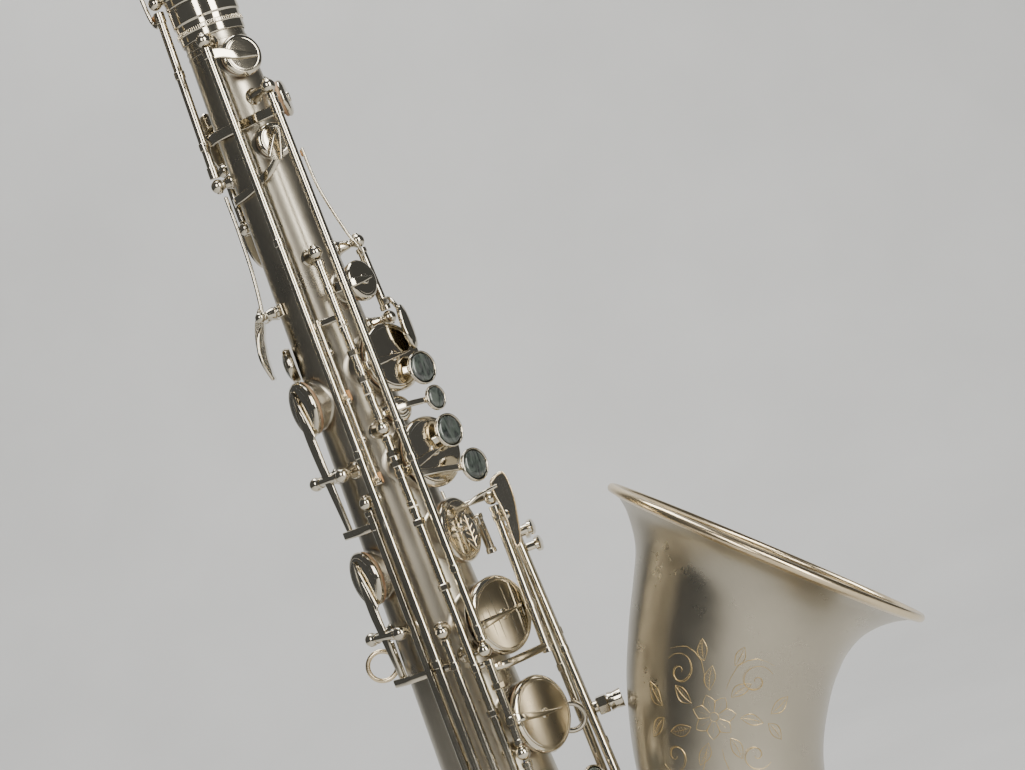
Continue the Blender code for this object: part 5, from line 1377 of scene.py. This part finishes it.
def rocker_key(name, spec):
    """Short side key that turns on a cross hinge."""
    hole, out = spec["hole"], radial(spec["phi"])
    line = rocker_line(spec)
    pivot = (line[0] + line[1]) / 2
    top = hole.seat + CUP_H + 0.6
    bar = strap([hole.point(top), hole.point(top, 0, -hole.cup), pivot + out * 0.8,
                 at(spec["tail_z"], spec["phi"], spec["out"] - 0.5)], out, [2.0, 7.0, 6.0, 3.4], 2.0, 8)
    tube = cylinder(line[0], line[1], ROD)
    collars = [cylinder(line[0].lerp(line[1], f), line[0].lerp(line[1], f + 0.12), ROD + 0.45) for f in (0.0,
                                                            0.88)]
    solids = [tube, bar] + collars + hole.key_cup() + hole.leaf(pivot + UP * 4)
    hinged(name, line, [("nickel", solids)] + hole.pad())


def side_keys():
    """Side C and side B flat: a long lever and a short rocker each."""
    side_lever("side_c_lever", C_LINE, 429.1, 224.9, touch_plate(C_LINE, 237, 24,
                                                                 Vector((41.0, -25.0, 237))),
               421.5, [(122, 32.2), (135, 31.4), (150, 30.6)])
    side_lever("side_bb_lever", BB_LINE, 361.1, 194.9, touch_plate(BB_LINE, 207, 24,
                                                                   Vector((47.0, -11.0, 207))),
               348.5, [(92, 32.0), (104, 29.2), (122, 29.4), (136, 32.6), (150, 34.0)])
    for name, spec in ROCKERS.items():
        rocker_key(name, spec)


def palm_key(name, hole, hinge_phi, high, low, route, touch_phi, touch_z, hinge_out, leaf=False):
    """One palm key, its arm round the tube and the rib with its two posts."""
    line = (at(high, hinge_phi, hinge_out), at(low, hinge_phi, hinge_out + (high - low) * BODY_TAPER))
    wrap, outs = [on_line(line, route[0][2])], [radial(hinge_phi)]
    for phi, out, z in route:
        wrap.append(at(z, phi, out))
        outs.append(radial(phi))
    wrap.append(hole.point(hole.seat + 4.2))
    outs.append(hole.out)
    reach = 15.0
    touch = at(touch_z, touch_phi, hinge_out + 9)
    head = at(touch_z + reach - 5, touch_phi, hinge_out + 9)
    solids = [cylinder(line[0], line[1], ROD)] + hole.key_cup(4.2, not leaf) + [
        strap(wrap, outs, 4.0, 1.4), oval_plate(touch, radial(touch_phi), UP, 2 * reach, 13, 2.0, 1.0),
        strap([on_line(line, low + 4), head], UP, 2.4, 6.0)]
    if leaf:
        solids += hole.leaf(at(598, 72, 24.0), 6.0)
    hinged(name, line, [("nickel", solids)] + hole.pad())
    posts, heads, marks = [], [], []
    for z, way in ((high + BALL + GAP, 1), (low - BALL - GAP, -1)):
        posts += post(on_line(line, z), at(z, hinge_phi, tube_radius(z) + GAP + 0.5))
        head_part, mark = ball_slot(line, z, way)
        heads.append(head_part)
        marks.append(mark)
    bar = [at(z, hinge_phi, tube_radius(z) + GAP + 0.7) for z in (high + 6.5, low - 6.5)]
    piece(name + "_rib_fine", [("nickel", [strap(bar, radial(hinge_phi), 5.0, 1.4)] + posts + heads),
                               ("inside", marks)], name + "_rib")


def palm_keys():
    """The three palm keys and their ribs."""
    palm_key("palm_d_key", PALM_D, 216, 602, 580,
             [(198, 20.6, 588), (178, 19.0, 588), (158, 18.8, 588), (138, 18.8, 588), (118, 18.8, 589),
              (98, 19.6, 591), (80, 21.6, 594), (66, 23.8, 600)], 236, 571, 24.0, True)
    palm_key("palm_eb_key", PALM_EB, 304, 636, 610,
             [(318, 21.6, 626), (332, 21.4, 626), (346, 22.4, 626)], 284, 601, 23.4)
    palm_key("palm_f_key", PALM_F, 246, 656.5, 630, [(262, 21.6, 653)], 232, 622, 23.0)


def front_f_key():
    """Front F touch, its hinge and its lever."""
    line = FRONT_F_LINE
    lever = [on_line(line, 543), Vector((5.0, 28.6, 546)), Vector((5.4, 25.4, 556)),
             Vector((5.0, 20.8, 580)),
             Vector((5.0, 20.2, 600))]
    tip = at(503, STACK_ANGLE, 37.6, -9.0)
    touch = oval_plate(tip, radial(STACK_ANGLE - 10), UP, 22, 8.5, 2.2, 0.8)
    arm = strap([on_line(line, 518.5), at(517.5, 14, 34.5), at(510, 20, 38.6)],
                [Vector((0, 1, 0)), radial(14), radial(20)], 3.6, 2.0)
    solids = hinge_tube(line, 546.5, 514.5) + [strap(lever, Vector((0, 1, 0)), 4.0, 1.4), touch, arm]
    cork = cork_pad(Vector((5.0, 19.6, 598)), Vector((0, -1, 0)), 1.7, 0.9)
    hinged("front_f_key", line, [("nickel", solids), ("cork", [cork])])


# ---- octave mechanism -----------------------------------------------------------------------------
def octave_keys():
    """Octave rocker, thumb key and the saddle that carries the thumb key."""
    line = OCTAVE_LINE
    head = on_line(line, 682)
    pin = strap([head, head + Vector((-3, -4.5, 1)), head + Vector((-4, -5.5, 27))], Vector((0, -1, 0)), 4.0,
                2.0)
    cork = strap([head + Vector((-1.4, -1.4, 0)), head + Vector((-3.2, -3.0, 2.4))], Vector((0, -1, 0)), 3.0,
                 1.8)
    solids = hinge_tube(line, 685.5, 602.0, rings=(682, 654, 618, 606)) + [pin]
    hinged("octave_rocker", line, [("nickel", solids), ("cork", [cork])])
    pivot = Vector((0, -26.8, 532.0))
    cross = (pivot + Vector((7.0, 0, 0)), pivot - Vector((7.0, 0, 0)))
    lever = [Vector((0, -22.4, 592)), Vector((0, -22.6, 575)), Vector((0, -23.8, 552)), pivot,
             Vector((0, -31.6, 524)), Vector((0, -34.0, 514)), Vector((0, -32.4, 503))]
    solids = [cylinder(cross[0], cross[1], ROD),
              strap(lever, Vector((0, -1, 0)), [3.0, 3.0, 3.6, 6.0, 13.0, 15.0, 11.0], 1.8, 8)]
    spoon = [Vector((0, y, z)) for y, z in ((-26.6, 537), (-30.8, 531), (-33.9, 522), (-34.8, 513),
                                            (-33.2, 503),
                                            (-31.8, 505), (-31.2, 513), (-29.8, 521), (-27.0, 529))]
    solids.append(plate(spoon, Vector((1, 0, 0)), 9.0))
    hinged("octave_thumb_key", cross, [("nickel", solids)])
    feet = []
    for x in (-1, 1):
        centre = pivot + Vector((x * (7.0 + 2.6 + 3 * GAP), 0, 0))
        foot_phi = degrees(atan2(centre.x, centre.y))
        feet += post(centre, at(532, foot_phi, tube_radius(532) + GAP + 0.5), 2.6, 3.0)
    angles = [180 - 36 + 72 * i / 6 for i in range(7)]
    saddle = strap([at(532, a, tube_radius(532) + GAP + 0.7) for a in angles], [radial(a) for a in angles],
                   6.0, 1.2)
    piece("octave_saddle_fine", [("nickel", [saddle] + feet)], "octave_saddle")


# ---- little finger keys ---------------------------------------------------------------------------
def left_table():
    """Left little finger table: G sharp lever and cup, low B, B flat and C sharp."""
    forward = Vector((0, 1, 0))
    line = GS_LEVER_LINE
    x = Vector((1, 0, 0))
    blade = [Vector((13.0, y, z)) for y, z in ((46, 420), (53, 423), (54, 412), (52, 400), (49.5, 390),
                                               (46.5, 389),
                                               (47, 404))]
    edge = pipe([p + x * 1.0 for p in blade + blade[:2]], 0.45, 10)
    top = strap([Vector((13.0, 48, 418)), Vector((14.0, 38, 416.5)), Vector((14.0, 33, 414.5))], UP, 4.0,
                1.8)
    link = strap([on_line(line, 339), at(340, 50, 39.5), at(341, 63, 38.6)], UP, 3.0, 4.0)
    screw, mark = adjusting_screw(at(341.5, 60, 39.4), radial(60), 1.3)
    solids = hinge_tube(line, 409.6, 336.0, rings=(404, 360)) + [
        plate(blade, x, 2.0, 6, 0.0), top, link, strap([on_line(line, 404), Vector((13.0, 48, 404))], UP,
                                                       3.0, 6.0)]
    hinged("g_sharp_lever", line, [("nickel", solids), ("gold", [edge, screw]), ("inside", [mark])])
    facing = radial(58)
    heart = G_SHARP.point(G_SHARP.seat + CUP_H + 1.9, -1.5, -2.0)
    across = UP.cross(facing)
    outline = [heart + UP * v + across * w for v, w in ((9.0, 0), (4.0, 3.4), (-1.5, 3.9), (-7.0, 1.6),
                                                        (-9.5, 0),
                                                        (-7.0, -1.6), (-1.5, -3.9), (4.0, -3.4))]
    veins = [pipe([heart + facing * 0.75 + UP * 7.5, heart + facing * 0.8 - UP * 8.0], 0.35, 8)]
    for v in (5, 2, -1, -4):
        for sign in (-1, 1):
            veins.append(pipe([heart + facing * 0.75 + UP * (v - 1.5), heart + facing * 0.72 + UP * (v + 0.6)
                               + across * sign * (2.2 if v < 4 else 1.4)], 0.22, 8))
    stalk = strap([G_SHARP.point(G_SHARP.seat + CUP_H + 0.3, 2, 2), heart - facing * 0.3], facing, 3.0, 1.6)
    leaf = [plate(outline, facing, 1.3), stalk]
    solids = hinge_tube(GS_LINE, 408.0, 388.0) + G_SHARP.key_cup() + [G_SHARP.arm(on_line(GS_LINE, 405),
                                                                                  tip=8.0)]
    hinged("key_g_sharp", GS_LINE, [("nickel", solids + leaf), ("gold", veins)] + G_SHARP.pad())
    specs = [("low_b_key", LOW_B_LINE, LOW_B, 407.6, 112.0, 126, 393.0, (-3.5, 56.0)),
             ("low_bb_key", LOW_BB_LINE, LOW_BB, 397.6, 174.0, 186, 384.0, (-9.5, 56.5)),
             ("low_c_sharp_key", LOW_CS_LINE, LOW_CS, 397.6, 104.0, 121, 391.0, (-19.5, 53.0))]
    for name, line, hole, high, low, cup_z, touch_z, (tx, ty) in specs:
        centre = Vector((tx, ty, touch_z))
        pad_plate = oval_plate(centre, forward, x, 12.0, 7.6, 2.2, 0.5)
        carrier = strap([on_line(line, touch_z), centre], UP, 3.0, 4.0)
        hinge = on_line(line, cup_z)
        if hole is LOW_CS:
            arm = hole.arm(hinge, tip=9.0)
            opened = 0.0
        else:
            behind = hinge + Vector((4.5, -6.5, 0))
            beside = hinge + Vector((17.0, -5.5, 0))
            over = hole.point(hole.seat + CUP_H + 1.6)
            arm = pipe([hinge, behind, beside, over + hole.side * hole.cup * 0.6, over], 2.0, 20)
            opened = opening(line, hole, 0.16)
        rings = [touch_z, cup_z] + [high - (high - low) * k / 4 for k in (1, 2, 3)]
        solids = hinge_tube(line, high, low, rings=rings) + hole.key_cup(CUP_H + 1) + [arm, pad_plate,
                                                                                       carrier]
        hinged(name, line, [("nickel", solids)] + hole.pad(), opened)


def bell_guard():
    """Guard over the two bell cups with its felt stops."""
    out = LOW_B.out
    high = 64.0
    points = [LOW_BB.point(bell_at(216)[2] + 1.4, 0, 30.0), LOW_BB.point(56, 0, 29.0),
              LOW_BB.point(high, 0, 20.0),
              LOW_B.point(high - 0.4, 0, -6.0)]
    outs = [UP, (out + UP).normalized(), out, out]
    middle = bell_at(156)[2] + 1.5
    leg = strap([LOW_B.point(middle, 0, 30.0), LOW_B.point(high, 0, 30.0)], UP, 7.0, 2.2)
    feet = [oval_plate(foot, out, LOW_B.side, 15, 8, 1.4, 0.2) for foot in (LOW_B.point(middle, 0, 30.0),
                                                                            points[0])]
    stops = [turned([(0, 0), (5.0, 0), (5.0, 5.0), (4.4, 5.6), (0, 5.6)], h.point(high - 3.4), out, 40)
             for h in (LOW_B, LOW_BB)]
    felts = [turned([(0, 0), (4.2, 0), (4.2, 2.0), (0, 2.0)], h.point(high - 5.0), out, 32) for h in (LOW_B,
                                                                                                      LOW_BB)]
    marks = [slot(h.point(high + 2.3), out, LOW_B.side, 7.0, 0.9) for h in (LOW_B, LOW_BB)]
    piece("bell_key_guard_fine", [("nickel", [strap(points, outs, 7.0, 2.0, 8), leg] + feet + stops),
                                  ("felt", felts), ("inside", marks)], "bell_key_guard")


def left_table_post():
    """Bracket that carries the upper ends of the little finger rods."""
    z = 414.0
    surface = tube_radius(z) + GAP
    bracket = [at(z, -24, surface + 0.8), at(z, -18, 36.0), Vector((-2.0, 46.4, z))]
    head = [strap(bracket, UP, 9.0, 3.0), ball(on_line(GS_LEVER_LINE, 413.4), BALL),
            ball(on_line(LOW_B_LINE, 412.0), BALL),
            strap([Vector((-4.5, 47.0, 413.4)), Vector((10.0, 43.6, 413.8))], UP, 4.0, 3.0)]
    marks = []
    for line, height in ((GS_LEVER_LINE, 413.4), (LOW_B_LINE, 412.0)):
        screw, mark = ball_slot(line, height, 1)
        head.append(screw)
        marks.append(mark)
    foot_points = [at(z1, -24, tube_radius(z1) + GAP + 0.75) for z1 in (424, 414, 404)]
    piece("left_table_post_fine", [("nickel", head + [strap(foot_points, radial(-24), 8.0, 1.5)]),
                                   ("inside", marks)], "left_table_post")


def right_keys():
    """Low E flat and low C keys."""
    for name, hole in (("low_eb_key", LOW_EB), ("low_c_key", LOW_C)):
        centre = hole.point(0)
        if hole is LOW_EB:
            line = (Vector((31.5, -20.5, 178)), Vector((36.5, -22.0, 60)))
        else:
            line = (Vector((33.5, -29.5, 172)), Vector((36.0, -31.0, 30)))
        hinge = on_line(line, centre.z + 2)
        touch = Vector((line[0].x + 9.0, line[0].y + (4 if hole is LOW_EB else -4), 166))
        turn = opening(line, hole, 0.18)
        opened = 0.0 if hole is LOW_EB else turn * 0.7
        top = hole.point(hole.seat + CUP_H + 0.5)
        edge = top + Vector((0, (hinge.y - top.y) * 0.62, 0))
        solids = [cylinder(line[0], line[1], ROD)] + hole.key_cup(CUP_H + 0.4) + [
            strap([hinge, edge, top], Vector((1, 0, 0)), [5.4, 4.5, 3.0], 2.0),
            oval_plate(touch, Vector((1, 0, 0)), UP, 16, 11, 2.4, 0.6),
            strap([on_line(line, 166), touch], UP, 2.6, 7.0)]
        roller = cylinder(touch + Vector((0.6, -4.0, -5.4)), touch + Vector((0.6, 4.0, -5.4)), 1.3, 20)
        hinged(name, line, [("nickel", solids), ("pearl", [roller])] + hole.pad(), opened)


# ---- neck and mouthpiece --------------------------------------------------------------------------
NECK_PATH = [(0, 707), (0, 722), (-2, 742), (-9, 761), (-22, 777), (-42, 787), (-66, 789), (-92, 783),
             (-120, 771), (-146, 757), (-176, 740)]
NECK_BASE_RADIUS = 13.2
NECK_TIP_RADIUS = 7.0
NECK_KEY_PIVOT = Vector((0, -52, 805.5))
CORK_LENGTH = 30.0
MOUTHPIECE_LENGTH = 92.0
MOUTHPIECE_OVER_CORK = 20.0


def neck_points():
    return [Vector((0, y, z)) for y, z in NECK_PATH]


def neck_axis():
    points = neck_points()
    return (points[-1] - points[-2]).normalized()


def neck_tube():
    """Curved neck with tenon, octave pip, posts and underslung brace."""
    coarse = neck_points()
    last = len(coarse) - 1
    radii = [NECK_BASE_RADIUS + (NECK_TIP_RADIUS - NECK_BASE_RADIUS) * i / last for i in range(last + 1)]
    points, radii = curve_through(coarse, 8), curve_through(radii, 8)
    stations = [(p, axis, Vector((1, 0, 0)), r) for (p, axis, _), r in zip(path_frames(points), radii)]
    tenon = turned_ring([(12.5, 690.5), (14.7, 690.5), (14.7, 704.4), (17.2, 704.6), (17.8, 705.6),
                         (17.5, 706.6),
                         (17.8, 707.6), (17.4, 709), (15.2, 711), (12.5, 711)], Vector(), UP, 80, 0.25)
    vent = Vector((0, -96, 796.4))
    pip = turned_ring([(1.3, -6.2), (3.4, -6.2), (2.8, -4.0), (2.8, 0), (1.3, 0)], vent, UP, 32, 0.2)
    posts = []
    for side in (-1, 1):
        posts += post(NECK_KEY_PIVOT + Vector((side * 8.4, 0, 0)), Vector((side * 5.0, -52, 796.0)), 2.6,
                      3.0)
    under = []
    for i, f in enumerate((0.16, 0.24, 0.34, 0.44, 0.54, 0.62)):
        k = round(f * (len(points) - 1))
        p, axis, _ = path_frames(points)[k]
        inner = axis.cross(Vector((1, 0, 0))).normalized()
        inner = inner if inner.dot(Vector((0, -40, 740)) - p) > 0 else -inner
        under.append((p + inner * (radii[k] + 0.15), inner))
    brace = strap([p for p, _ in under], [n for _, n in under], [2.0, 6.0, 7.5, 7.5, 6.0, 2.0], 1.2)
    end_ring_at = points[-1] - neck_axis() * 30.0
    ring = turned_ring([(8.2, -2), (9.2, -2), (9.6, -1), (9.2, 0), (8.2, 0)], end_ring_at, neck_axis(), 48,
                       0.2)
    piece("neck_tube_fine", [("satin", [swept_shell(stations, 64)]),
                             ("nickel", [tenon, pip, brace, ring] + posts)],
          "neck_tube", "neck_tube")


def neck_cork():
    """Cork sleeve at the end of the neck."""
    axis = neck_axis()
    start = neck_points()[-1] - axis * CORK_LENGTH
    inside = NECK_TIP_RADIUS + 0.4
    outline = [(inside, 0), (inside + 2.9, 0.8), (inside + 2.6, 12), (inside + 2.4, CORK_LENGTH - 2),
               (inside + 1.8, CORK_LENGTH - 0.5), (inside, CORK_LENGTH - 0.5)]
    piece("neck_cork_fine", [("neck_cork", [turned_ring(outline, start, axis, 64, 0.3)])], "neck_cork",
          "neck_tube")


def mouthpiece_place():
    axis = neck_axis()
    start = neck_points()[-1] - axis * MOUTHPIECE_OVER_CORK
    up = Vector((1, 0, 0)).cross(axis).normalized()
    return start, axis, up if up.z > 0 else -up


def mouthpiece():
    """Mouthpiece with bore, table, beak and window cut out of one turned body."""
    start, axis, up = mouthpiece_place()
    cork = NECK_TIP_RADIUS + 1.4 + 1.9 + GAP
    outer = [(12.3, 0), (12.9, 0.8), (13.2, 1.8), (12.9, 2.6), (13.2, 3.4), (13.2, 8.2), (12.7, 9.4),
             (12.6, 11),
             (12.9, 30), (13.0, 50), (12.7, 56), (11.8, 62), (10.8, 69), (9.4, 78), (8.3, 85), (7.2, 92)]
    body = turned([(0, 0)] + outer + [(0, MOUTHPIECE_LENGTH)], start, axis, 80, up, 0.3)
    socket = turned([(0, -2), (cork, -2), (cork, MOUTHPIECE_OVER_CORK + 5), (0, MOUTHPIECE_OVER_CORK + 7)],
                    start, axis, 48, up, 0)
    bore = cylinder(start + axis * 20, start + axis * 60, 7.5, 32)

    def block(a, b, wide, thick):
        side = axis.cross(up).normalized()
        way = (b - a).normalized()
        top = side.cross(way).normalized()
        return new_solid([[p + side * x * wide / 2 + top * y * thick / 2 for x,
                           y in ((1, 1), (-1, 1), (-1, -1),
                                                                                      (1, -1))] for p in (a,
                                                                                                          b)])
    table = block(start + axis * 31 - up * 15.2, start + axis * 100 - up * 15.2, 34.0, 10.0)
    beak = block(start + axis * 50 + up * 19.2, start + axis * 98 + up * 8.4, 34.0, 12.0)
    window = block(start + axis * 52 - up * 8.0, start + axis * 86 - up * 6.5, 11.0, 12.0)
    cut_piece("mouthpiece_fine", "ebonite", [body], [socket, bore, table, beak, window], "mouthpiece",
              "mouthpiece")
    bands = [turned_ring([(12.9, z - 0.25), (13.22, z - 0.1), (13.22, z + 0.1), (12.9, z + 0.25)], start,
                         axis, 80, 0) for z in (5.0, 6.0)]
    piece("mouthpiece_lines", [("gold", bands)], None, "mouthpiece")


def reed_and_ligature():
    """Reed, ligature band and its two screws."""
    start, axis, up = mouthpiece_place()
    back = start + axis * 33
    rings = []
    stations = ((0.0, 6.2, 12.4), (0.8, 6.4, 12.5), (26, 6.6, 12.5), (30, 6.7, 12.2), (40, 6.95, 11.6),
                (50, 7.2, 11.1), (56.2, 7.35, 10.9), (57, 7.2, 10.85))
    for along, wide, heel in stations:
        ring = [(-wide, 10.5), (wide, 10.5)]
        ring += [(wide * cos(radians(a)) * 0.98, 10.5 + (heel - 10.5) * sin(radians(a)) ** 0.6)
                 for a in range(15, 180, 15)]
        rings.append([back + axis * along - up * low + Vector((x, 0, 0)) for x, low in ring])
    piece("reed_fine", [("cane", [new_solid(rings)])], "reed", "mouthpiece")
    middle = start + axis * 38
    side_x = Vector((1, 0, 0))
    rings = []
    for k in range(61):
        a = radians(-68 + (180 + 136) * k / 60)
        out = side_x * cos(a) + up * sin(a)
        rings.append([middle + axis * along + out * r for r, along in
                      ((13.6, -8), (14.5, -8), (14.6, -7.2), (14.3, -6.2), (14.3, 6.2), (14.6, 7.2),
                       (14.5, 8),
                       (13.6, 8))])
    band = new_solid(rings)
    lugs = []
    for side in (-1, 1):
        for along in (-5, 5):
            centre = middle + axis * along - up * 16.5 + side_x * side * 4.6
            lugs.append(turned_ring([(1.4, -1.3), (3.2, -1.3), (3.2, 1.3), (1.4, 1.3)], centre, side_x, 28,
                                    0.2))
            root = middle + axis * along + (side_x * side * cos(radians(68)) - up * sin(radians(68))) * 14.0
            lugs.append(strap([root, centre + up * 1.6], side_x, 4.4, 1.2))
    piece("ligature_fine", [("nickel", [band] + lugs)], "ligature", "mouthpiece")
    for label, along in (("back", -5), ("front", 5)):
        centre = middle + axis * along - up * 16.5
        shank = cylinder(centre - side_x * 8, centre + side_x * 8.5, 1.05, 20)
        head = oval_plate(centre + side_x * 11.5, axis, side_x, 7.0, 6.4, 2.4, 0.3)
        collar = turned([(0, 0), (1.9, 0), (1.9, 1.6), (0, 1.6)], centre + side_x * 7.2, side_x, 24)
        name = f"ligature_screw_{label}"
        piece(name + "_fine", [("nickel", [shank, head, collar])], name, name)


def neck_screw():
    """Thumb screw that clamps the neck."""
    centre = Vector((-21.5, 0, 696))
    y = Vector((0, 1, 0))
    shank = cylinder(centre - y * 7.5, centre + y * 9, 1.5, 24)
    collar = turned([(0, 0), (2.6, 0), (2.6, 1.8), (0, 1.8)], centre - y * 7.6, y, 28)
    head = oval_plate(centre - y * 11.5, Vector((1, 0, 0)), y, 9.0, 11.0, 2.6, 0.3)
    piece("neck_screw_fine", [("nickel", [shank, collar, head])], "neck_screw", "neck_screw")


def neck_octave_key():
    """Octave key over the neck, with its loop round the receiver."""
    pivot = NECK_KEY_PIVOT
    line = (pivot + Vector((4.5, 0, 0)), pivot - Vector((4.5, 0, 0)))
    arm = [Vector((0, -96, 800.5)), Vector((0, -76, 807.0)), pivot, Vector((0, -34, 804)),
           Vector((0, -11, 792.5)),
           Vector((0, 7, 772)), Vector((0, 17, 747)), Vector((0, 20.8, 722))]
    outs = [UP] * 4 + [Vector((0, 0.6, 0.8)), Vector((0, 0.9, 0.3)), Vector((0, 1, 0)), Vector((0, 1, 0))]
    pad_cup = turned([(0, 1.0), (4.4, 1.0), (4.6, 1.2), (4.6, 2.6), (3.6, 3.5), (0, 3.6)],
                     Vector((0, -96, 797.0)),
                     UP, 40)
    pad = turned([(0, 0), (4.2, 0), (4.2, 1.1), (0, 1.1)], Vector((0, -96, 797.0)), UP, 40)
    angles = (0, 30, 60, 90, 120, 150, 170)
    loop = strap([at(718.0, a, 20.9) for a in angles], [radial(a) for a in angles], 4.0, 1.6)
    tail = strap([Vector((0, 20.9, 724)), Vector((0, 20.9, 716.5))], Vector((0, 1, 0)), 4.6, 1.9)
    hinged("neck_octave_key", line, [("nickel", [cylinder(line[0], line[1], 1.9),
                                                 strap(arm, outs, 4.4, 1.6, 8),
                                                 pad_cup, loop, tail]), ("cork", [pad])])


# ---- stage ----------------------------------------------------------------------------------------
CAMERA_PLACE = Vector((1100.0, 72.46, 459.29))
CAMERA_ROLL = 21.3             # degrees
CAMERA_LENS = 81.1             # mm on the sensor below
CAMERA_SENSOR = 36.0


def stage():
    """Pale floor that curves up into a backdrop, soft lamps and the camera."""
    floor_z = CAD_BOX[0].z - 0.004
    profile = [(2.4, 0.0), (-1.5, 0.0)]
    profile += [(-1.5 - 0.9 * sin(radians(a)), 0.9 * (1 - cos(radians(a)))) for a in range(6, 91, 6)]
    profile.append((-2.4, 3.6))
    bm = bmesh.new()
    rows = [[bm.verts.new((x, y, floor_z + h)) for y in (-1.9, 1.9)] for x, h in profile]
    for low, high in zip(rows, rows[1:]):
        bm.faces.new((low[0], low[1], high[1], high[0]))
    mesh = bpy.data.meshes.new("floor")
    bm.to_mesh(mesh)
    bm.free()
    mesh.materials.append(floor_material())
    mesh.shade_smooth()
    floor = bpy.data.objects.new("floor", mesh)
    bpy.context.scene.collection.objects.link(floor)
    world = bpy.data.worlds.new("studio")
    world.use_nodes = True
    world.node_tree.nodes["Background"].inputs["Color"].default_value = (0.60, 0.62, 0.64, 1.0)
    world.node_tree.nodes["Background"].inputs["Strength"].default_value = 0.16
    bpy.context.scene.world = world
    middle = (0.0, 0.04, 0.08)
    for name, place, aim, size_x, size_y, power, warmth in (
            ("key_lamp", (1.65, 1.40, 0.75), middle, 0.75, 1.9, 62.0, (1.0, 0.97, 0.90)),
            ("front_lamp", (2.0, -0.40, 0.95), middle, 0.55, 1.2, 24.0, (1.0, 0.97, 0.92)),
            ("top_lamp", (0.1, 0.3, 2.3), middle, 1.0, 1.0, 22.0, (1.0, 1.0, 1.0)),
            ("backdrop_lamp", (-0.7, 0.0, 2.6), (-2.1, 0.1, 0.3), 1.6, 0.8, 62.0, (1.0, 1.0, 1.0))):
        data = bpy.data.lights.new(name, "AREA")
        data.shape = "RECTANGLE"
        data.size, data.size_y = size_x, size_y
        data.energy = power
        data.color = warmth
        lamp = bpy.data.objects.new(name, data)
        lamp.location = place
        lamp.rotation_euler = (Vector(aim) - Vector(place)).to_track_quat("-Z", "Y").to_euler()
        bpy.context.scene.collection.objects.link(lamp)
    data = bpy.data.cameras.new("camera")
    data.sensor_width = CAMERA_SENSOR
    data.lens = CAMERA_LENS
    data.clip_start = 0.05
    data.clip_end = 30.0
    camera = bpy.data.objects.new("camera", data)
    bpy.context.scene.collection.objects.link(camera)
    roll = radians(CAMERA_ROLL)
    right = Vector((0, cos(roll), -sin(roll)))
    up = Vector((0, sin(roll), cos(roll)))
    back = Vector((1, 0, 0))
    place = CAMERA_PLACE - RING_CENTRE
    camera.matrix_world = Matrix.Translation(place * MM) @ Matrix((right, up, back)).transposed().to_4x4()
    bpy.context.scene.camera = camera


body_tube()
bow()
bell()
engraving()
joint_rings()
bell_brace()
strap_ring()
thumb_pieces()
upper_stack()
g_key()
lower_stack()
side_e_key()
side_keys()
palm_keys()
front_f_key()
octave_keys()
left_table()
bell_guard()
left_table_post()
right_keys()
neck_tube()
neck_cork()
mouthpiece()
reed_and_ligature()
neck_screw()
neck_octave_key()
stage()
